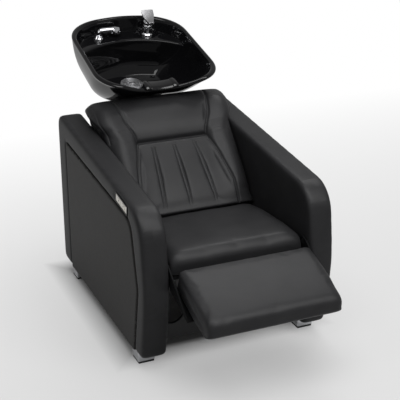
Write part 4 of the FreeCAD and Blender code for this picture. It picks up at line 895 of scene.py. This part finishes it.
class BACKWASH_OT_fittings(bpy.types.Operator):
    """Turn the chrome fittings: drain, mixer with its lever, and hand shower in its socket"""
    bl_idname = "backwash.fittings"
    bl_label = "Fittings"

    def execute(self, context):
        chrome = finish_of("chrome")
        drain = lathe("drain_flange", [
            (0, -0.023), (0.0225, -0.023), (0.0225, 0.0002), (0.0460, 0.0002), (0.0455, 0.0030),
            (0.0430, 0.0050), (0.0400, 0.0046), (0.0380, 0.0010), (0.0355, 0.0010), (0.0340, 0.0050),
            (0.0305, 0.0050), (0.0285, 0.0008), (0.0245, 0.0008), (0.0225, 0.0050), (0.0185, 0.0050),
            (0.0165, 0.0008), (0.0130, 0.0008), (0.0110, 0.0054), (0.0060, 0.0064), (0, 0.0066)])
        lean_basin(drain, 0, DRAIN_AT, -BASIN_FLOOR)
        finish_piece(drain, "drain_flange", "basin", finish_of("satin_chrome"), "chrome", "drain_strainer")
        body = lathe("mixer_turned_body", [
            (0, -0.054), (0.0140, -0.054), (0.0140, 0), (0.0260, 0), (0.0260, 0.0030), (0.0250, 0.0042),
            (0.0222, 0.0062), (0.0210, 0.0090), (0.0203, 0.0290), (0.0195, 0.0296), (0.0195, 0.0306),
            (0.0201, 0.0312), (0.0194, 0.0408), (0.0184, 0.0420), (0, 0.0420)])
        lean_basin(body, TAP_APART, TAP_AT, -DECK_SINK)
        finish_piece(body, "mixer_turned_body", "basin", chrome, "chrome", "mixer_body")
        cap = lathe("mixer_dome", [
            (0, 0.0423), (0.0178, 0.0423), (0.0190, 0.0434), (0.0190, 0.0510), (0.0182, 0.0540),
            (0.0160, 0.0565), (0.0120, 0.0579), (0, 0.0583)])
        lean_basin(cap, TAP_APART, TAP_AT, -DECK_SINK)
        finish_piece(cap, "mixer_dome", "mixer_cap", chrome, "chrome", "mixer_cap")
        deselect()
        bpy.ops.mesh.primitive_cube_add(size=2)
        lever = context.object
        edit_all()
        bpy.ops.mesh.subdivide(number_cuts=5)
        bpy.ops.object.mode_set(mode="OBJECT")
        x, y, z = points_of(lever).T
        rear = (y + 1) / 2
        half = 0.011 + 0.014 * ease(rear, 0, 0.8)
        thick = 0.004 - 0.0012 * rear
        rise = 0.030 * rear ** 1.5 + 0.0015 * (1 - x ** 2)
        set_points(lever, np.column_stack([x * half, -0.041 + 0.062 * rear, 0.0586 + thick * (1 + z) + rise]))
        add_bevel(lever, 0.002, 3, 50)
        add_subdivision(lever, 2)
        apply_all(lever)
        bpy.ops.object.shade_smooth()
        lean_basin(lever, TAP_APART, TAP_AT, -DECK_SINK)
        finish_piece(lever, "mixer_paddle", "mixer_lever", finish_of("satin_chrome"), "chrome", "mixer_lever")
        socket = lathe("shower_turned_socket", [
            (0.0100, -0.054), (0.0140, -0.054), (0.0140, 0), (0.0220, 0), (0.0220, 0.0028), (0.0212, 0.0042),
            (0.0190, 0.0060), (0.0172, 0.0120), (0.0160, 0.0138), (0.0125, 0.0142), (0.0100, 0.0136),
            (0.0100, -0.054)])
        lean_basin(socket, -TAP_APART, TAP_AT, -DECK_SINK)
        finish_piece(socket, "shower_turned_socket", "basin", chrome, "chrome", "shower_socket")
        # The neck of the hand shower: rings along a stem, a bend and a short arm
        rise, bend, reach = 0.014, 0.018, 0.072
        path = [((0, 0, -0.014), 0.0), ((0, 0, 0.004), 0.0), ((0, 0, rise), 0.0)]
        for step in range(1, 10):
            turn = math.pi / 2 * step / 9
            path.append(((bend * (1 - math.cos(turn)), 0, rise + bend * math.sin(turn)), turn))
        path += [((across, 0, rise + bend), math.pi / 2) for across in (0.036, 0.054, reach)]
        angles = np.linspace(0, math.tau, 24, endpoint=False)
        rings = []
        for k, (spot, turn) in enumerate(path):
            radius = 0.0094 + 0.0014 * max(0, k - 3) / (len(path) - 4)
            ring = np.column_stack([np.cos(angles) * math.cos(turn), np.sin(angles),
                                    -np.cos(angles) * math.sin(turn)])
            rings.append(np.array(spot) + radius * ring)
        neck = ring_piece(rings)
        pick(neck)
        bpy.ops.object.shade_smooth_by_angle(angle=math.radians(50))
        head = lathe("shower_head", [
            (0, -0.0100), (0.0060, -0.0100), (0.0170, -0.0098), (0.0178, -0.0106), (0.0202, -0.0104),
            (0.0210, -0.0094), (0.0205, -0.0040), (0.0180, 0.0040), (0.0155, 0.0090), (0.0120, 0.0105),
            (0, 0.0110)])
        head.data.transform(Matrix.Translation((reach, 0, rise + bend - 0.002)))
        deselect()
        neck.select_set(True)
        head.select_set(True)
        context.view_layer.objects.active = neck
        bpy.ops.object.join()
        lean_basin(neck, -TAP_APART, TAP_AT, -DECK_SINK)
        finish_piece(neck, "hand_shower_neck", "hand_shower", chrome, "chrome", "hand_shower")
        return {"FINISHED"}


class BACKWASH_OT_marks(bpy.types.Operator):
    """Press an arrow into the look of each button of the arm's switch"""
    bl_idname = "backwash.marks"
    bl_label = "Button marks"

    def execute(self, context):
        for node, point in (("raise_button", 1), ("lower_button", -1)):
            low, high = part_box(node)
            deselect()
            bpy.ops.mesh.primitive_circle_add(vertices=3, radius=0.0042, fill_type="NGON")
            obj = context.object
            edit_all()
            bpy.ops.mesh.extrude_region_move(TRANSFORM_OT_translate={"value": (0, 0, 0.0004)})
            bpy.ops.mesh.select_all(action="SELECT")
            bpy.ops.mesh.normals_make_consistent(inside=False)
            bpy.ops.mesh.bevel(offset=0.0003, segments=2)
            bpy.ops.object.mode_set(mode="OBJECT")
            spot = Vector((low.x + 0.0001, (low.y + high.y) / 2, (low.z + high.z) / 2))
            turn = Matrix.Rotation(-math.pi / 2, 4, "Y") @ Matrix.Rotation(-point * math.pi / 2, 4, "Z")
            obj.data.transform(Matrix.Translation(spot) @ turn)
            mark = node.replace("button", "mark")
            finish_piece(obj, mark, node, finish_of("black_plastic"), "black_plastic")
        return {"FINISHED"}


class BACKWASH_OT_finishes(bpy.types.Operator):
    """Give the pieces that stay as built their finishes and break their sharp edges"""
    bl_idname = "backwash.finishes"
    bl_label = "Finishes"

    def execute(self, context):
        slots = {row["node"]: row["material_slot"] for row in frame["record"]["subparts"]}
        # Hinge plates, slotted levers, rails and boards get the near-black, low-gloss matt paint in place of
        # their own steel and plywood: painted shade, so that they stay dark in the gaps where they show
        shade_painted_parts = ("hinge_plate", "slotted_lever", "_rail", "_board")
        broken = ("_foot", "kickboard", "_bezel", "_plate", "_button", "column_cover")
        switch = ("control", "raise", "lower")
        for name, obj in frame["nodes"].items():
            slot = "silver_plate" if name.endswith("_button") else slots[name]
            slot = "matt_paint" if name.endswith(shade_painted_parts) else slot
            obj.data.materials.clear()
            obj.data.materials.append(finish_of(slot))
            if name.endswith(broken):
                obj.modifiers.new("Joined", "WELD").merge_threshold = 0.00002
                add_bevel(obj, 0.0004 if name.startswith(switch) else 0.0012, 2, 40)
        return {"FINISHED"}


# Stage

# Painted shadow on the floor: half sizes of the patch under the unit's outline where the floor's white glow
# is taken away, and how far its middle lies to the rear
SHADOW_PATCH_HALF = (0.35, 0.38)
SHADOW_PATCH_REAR = 0.08
# How bright the floor's own white is in a mirror, against 1 where it is seen
MIRRORED = 0.35
# Pieces that single lamps are kept off, because they would make them too bright
FLAGS = {
    "glaze_flag": ("basin_shell",),
    "basin_flag": ("basin_shell", "mixer_paddle", "neck_rest_pad", "hand_shower_neck"),
    "arm_flag": ("basin_shell", "left_arm_padding", "left_arm_panel"),
}
# Each lamp's place, aim, width, height, power and flag
LAMPS = (
    ("key_softbox", (0.9, -2.6, 2.8), (0, 0.0, 0.5), 2.4, 2.0, 84, "glaze_flag"),
    ("top_softbox", (-0.3, -1.2, 3.4), (0, -0.2, 0.5), 2.6, 1.8, 76, None),
    ("rear_softbox", (1.2, 0.9, 3.3), (0, -0.5, 0.4), 1.8, 1.4, 44, "basin_flag"),
    ("left_strip", (-2.8, -1.2, 2.2), (0, 0.2, 0.6), 0.5, 2.0, 14, "arm_flag"),
)
# The view, found from the photograph's perspective: turned to the left of the front and raised
CAMERA_PLACE = (-1.3489, -3.2022, 1.8382)
CAMERA_AZIMUTH = math.radians(-23.55)
CAMERA_ELEVATION = math.radians(22.70)
CAMERA_LENS = 91.78
CAMERA_SHIFT = 0.0208


def build_floor(context):
    """A floor that keeps the shadow and turns into a plain white backdrop behind the unit."""
    deselect()
    bpy.ops.mesh.primitive_plane_add(size=60, location=(0, 0, 0))
    floor = context.object
    floor.name = "studio_floor"
    material, tree, shader = new_material("studio_floor")
    shader.inputs["Roughness"].default_value = 0.9
    shader.inputs["Specular IOR Level"].default_value = 0.1
    shader.inputs["Base Color"].default_value = (*linear(context.scene.backwash_colours.floor), 1)
    where = add_node(tree, "ShaderNodeTexCoord").outputs["Object"]
    split = add_node(tree, "ShaderNodeSeparateXYZ", Vector=where)
    reach = add_node(tree, "ShaderNodeMapRange", {"From Min": -0.9, "From Max": 2.2, "To Min": 0.27},
                     Value=split.outputs["Y"])
    # Painted shadow: under the unit the floor loses its white glow and shows only what the lamps give it, on
    # top of the lamps' own shadow
    scaled = add_node(tree, "ShaderNodeVectorMath", {"operation": "MULTIPLY_ADD"}, Vector=where)
    scaled.inputs[1].default_value = (1 / SHADOW_PATCH_HALF[0], 1 / SHADOW_PATCH_HALF[1], 0)
    scaled.inputs[2].default_value = (0, -SHADOW_PATCH_REAR / SHADOW_PATCH_HALF[1], 0)
    folded = add_node(tree, "ShaderNodeVectorMath", {"operation": "ABSOLUTE"}, Vector=scaled.outputs[0])
    within = add_node(tree, "ShaderNodeSeparateXYZ", Vector=folded.outputs[0])
    most = calculate(tree, "MAXIMUM", within.outputs["X"], within.outputs["Y"])
    clear = add_node(tree, "ShaderNodeMapRange", {"From Min": 0.92, "From Max": 1.22}, Value=most)
    path = add_node(tree, "ShaderNodeLightPath")
    mirrored = calculate(tree, "MULTIPLY", path.outputs["Is Glossy Ray"], MIRRORED)
    share = calculate(tree, "MAXIMUM", path.outputs["Is Camera Ray"], mirrored)
    share = calculate(tree, "MAXIMUM", share, path.outputs["Is Transmission Ray"])
    share = calculate(tree, "MULTIPLY", share, reach.outputs["Result"])
    share = calculate(tree, "MULTIPLY", share, clear.outputs["Result"])
    white = add_node(tree, "ShaderNodeEmission", {"Color": (1, 1, 1, 1), "Strength": 1.0})
    mixed = add_node(tree, "ShaderNodeMixShader", Fac=share)
    tree.links.new(shader.outputs[0], mixed.inputs[1])
    tree.links.new(white.outputs[0], mixed.inputs[2])
    tree.links.new(mixed.outputs[0], tree.nodes["Material Output"].inputs["Surface"])
    floor.data.materials.append(material)


def build_world(scene):
    """Pale walls all round under a dimmer ceiling, plain white where they are seen."""
    world = bpy.data.worlds.new("studio_air")
    world.use_nodes = True
    tree = world.node_tree
    air = tree.nodes["Background"]
    air.inputs["Color"].default_value = (1, 1, 1, 1)
    where = add_node(tree, "ShaderNodeTexCoord").outputs["Generated"]
    split = add_node(tree, "ShaderNodeSeparateXYZ", Vector=where)
    height = add_node(tree, "ShaderNodeMapRange", {"To Min": 0.42, "To Max": 0.32}, Value=split.outputs["Z"])
    seen = add_node(tree, "ShaderNodeLightPath").outputs["Is Camera Ray"]
    tree.links.new(calculate(tree, "MAXIMUM", height.outputs["Result"], seen), air.inputs["Strength"])
    scene.world = world


def build_lamps(context):
    """The softboxes, each with its flag."""
    flags = {}
    for name, pieces in FLAGS.items():
        flags[name] = bpy.data.collections.new(name)
        for piece in pieces:
            flags[name].objects.link(bpy.data.objects[piece])
        for row in flags[name].collection_objects:
            row.light_linking.link_state = "EXCLUDE"
    for name, place, aim, wide, tall, power, flag in LAMPS:
        bpy.ops.object.light_add(type="AREA", location=place)
        lamp = context.object
        lamp.name = name
        lamp.data.shape = "RECTANGLE"
        lamp.data.size = wide
        lamp.data.size_y = tall
        lamp.data.energy = power
        lamp.rotation_euler = (Vector(aim) - Vector(place)).to_track_quat("-Z", "Y").to_euler()
        if flag:
            lamp.light_linking.receiver_collection = flags[flag]


def build_camera(context):
    """The camera of the photograph."""
    flat = math.cos(CAMERA_ELEVATION)
    back = Vector((math.sin(CAMERA_AZIMUTH) * flat, -math.cos(CAMERA_AZIMUTH) * flat,
                   math.sin(CAMERA_ELEVATION)))
    bpy.ops.object.camera_add(location=CAMERA_PLACE)
    camera = context.object
    camera.rotation_euler = (-back).to_track_quat("-Z", "Y").to_euler()
    camera.data.sensor_width = 36
    camera.data.lens = CAMERA_LENS
    camera.data.shift_y = CAMERA_SHIFT
    camera.data.clip_end = 100
    context.scene.camera = camera


class BACKWASH_OT_stage(bpy.types.Operator):
    """Set up the floor, the soft light and the camera"""
    bl_idname = "backwash.stage"
    bl_label = "Stage"

    def execute(self, context):
        context.scene.view_settings.view_transform = "Standard"
        build_floor(context)
        build_world(context.scene)
        build_lamps(context)
        build_camera(context)
        return {"FINISHED"}


class BACKWASH_PT_panel(bpy.types.Panel):
    """Sizes, colours and steps of the backwash unit"""
    bl_idname = "BACKWASH_PT_panel"
    bl_label = "Backwash unit"
    bl_space_type = "VIEW_3D"
    bl_region_type = "UI"
    bl_category = "Backwash"

    def draw(self, context):
        for group in (context.scene.backwash_sizes, context.scene.backwash_colours):
            for name in group.__annotations__:
                self.layout.prop(group, name)
        for step in STEPS:
            self.layout.operator(step.bl_idname)


STEPS = (
    BACKWASH_OT_finishes,
    BACKWASH_OT_arms,
    BACKWASH_OT_seat,
    BACKWASH_OT_back,
    BACKWASH_OT_leg_rest,
    BACKWASH_OT_basin,
    BACKWASH_OT_neck_rest,
    BACKWASH_OT_fittings,
    BACKWASH_OT_marks,
    BACKWASH_OT_stage,
)
CLASSES = (BackwashSizes, BackwashColours, *STEPS, BACKWASH_PT_panel)


def register():
    """Add the classes and the scene's settings."""
    for cls in CLASSES:
        bpy.utils.register_class(cls)
    bpy.types.Scene.backwash_sizes = bpy.props.PointerProperty(type=BackwashSizes)
    bpy.types.Scene.backwash_colours = bpy.props.PointerProperty(type=BackwashColours)


def unregister():
    """Take the classes and the scene's settings away."""
    del bpy.types.Scene.backwash_colours
    del bpy.types.Scene.backwash_sizes
    for cls in reversed(CLASSES):
        bpy.utils.unregister_class(cls)


def main():
    """Build every piece in order."""
    register()
    for step in STEPS:
        group, name = step.bl_idname.split(".")
        getattr(getattr(bpy.ops, group), name)()


if __name__ == "__main__":
    main()
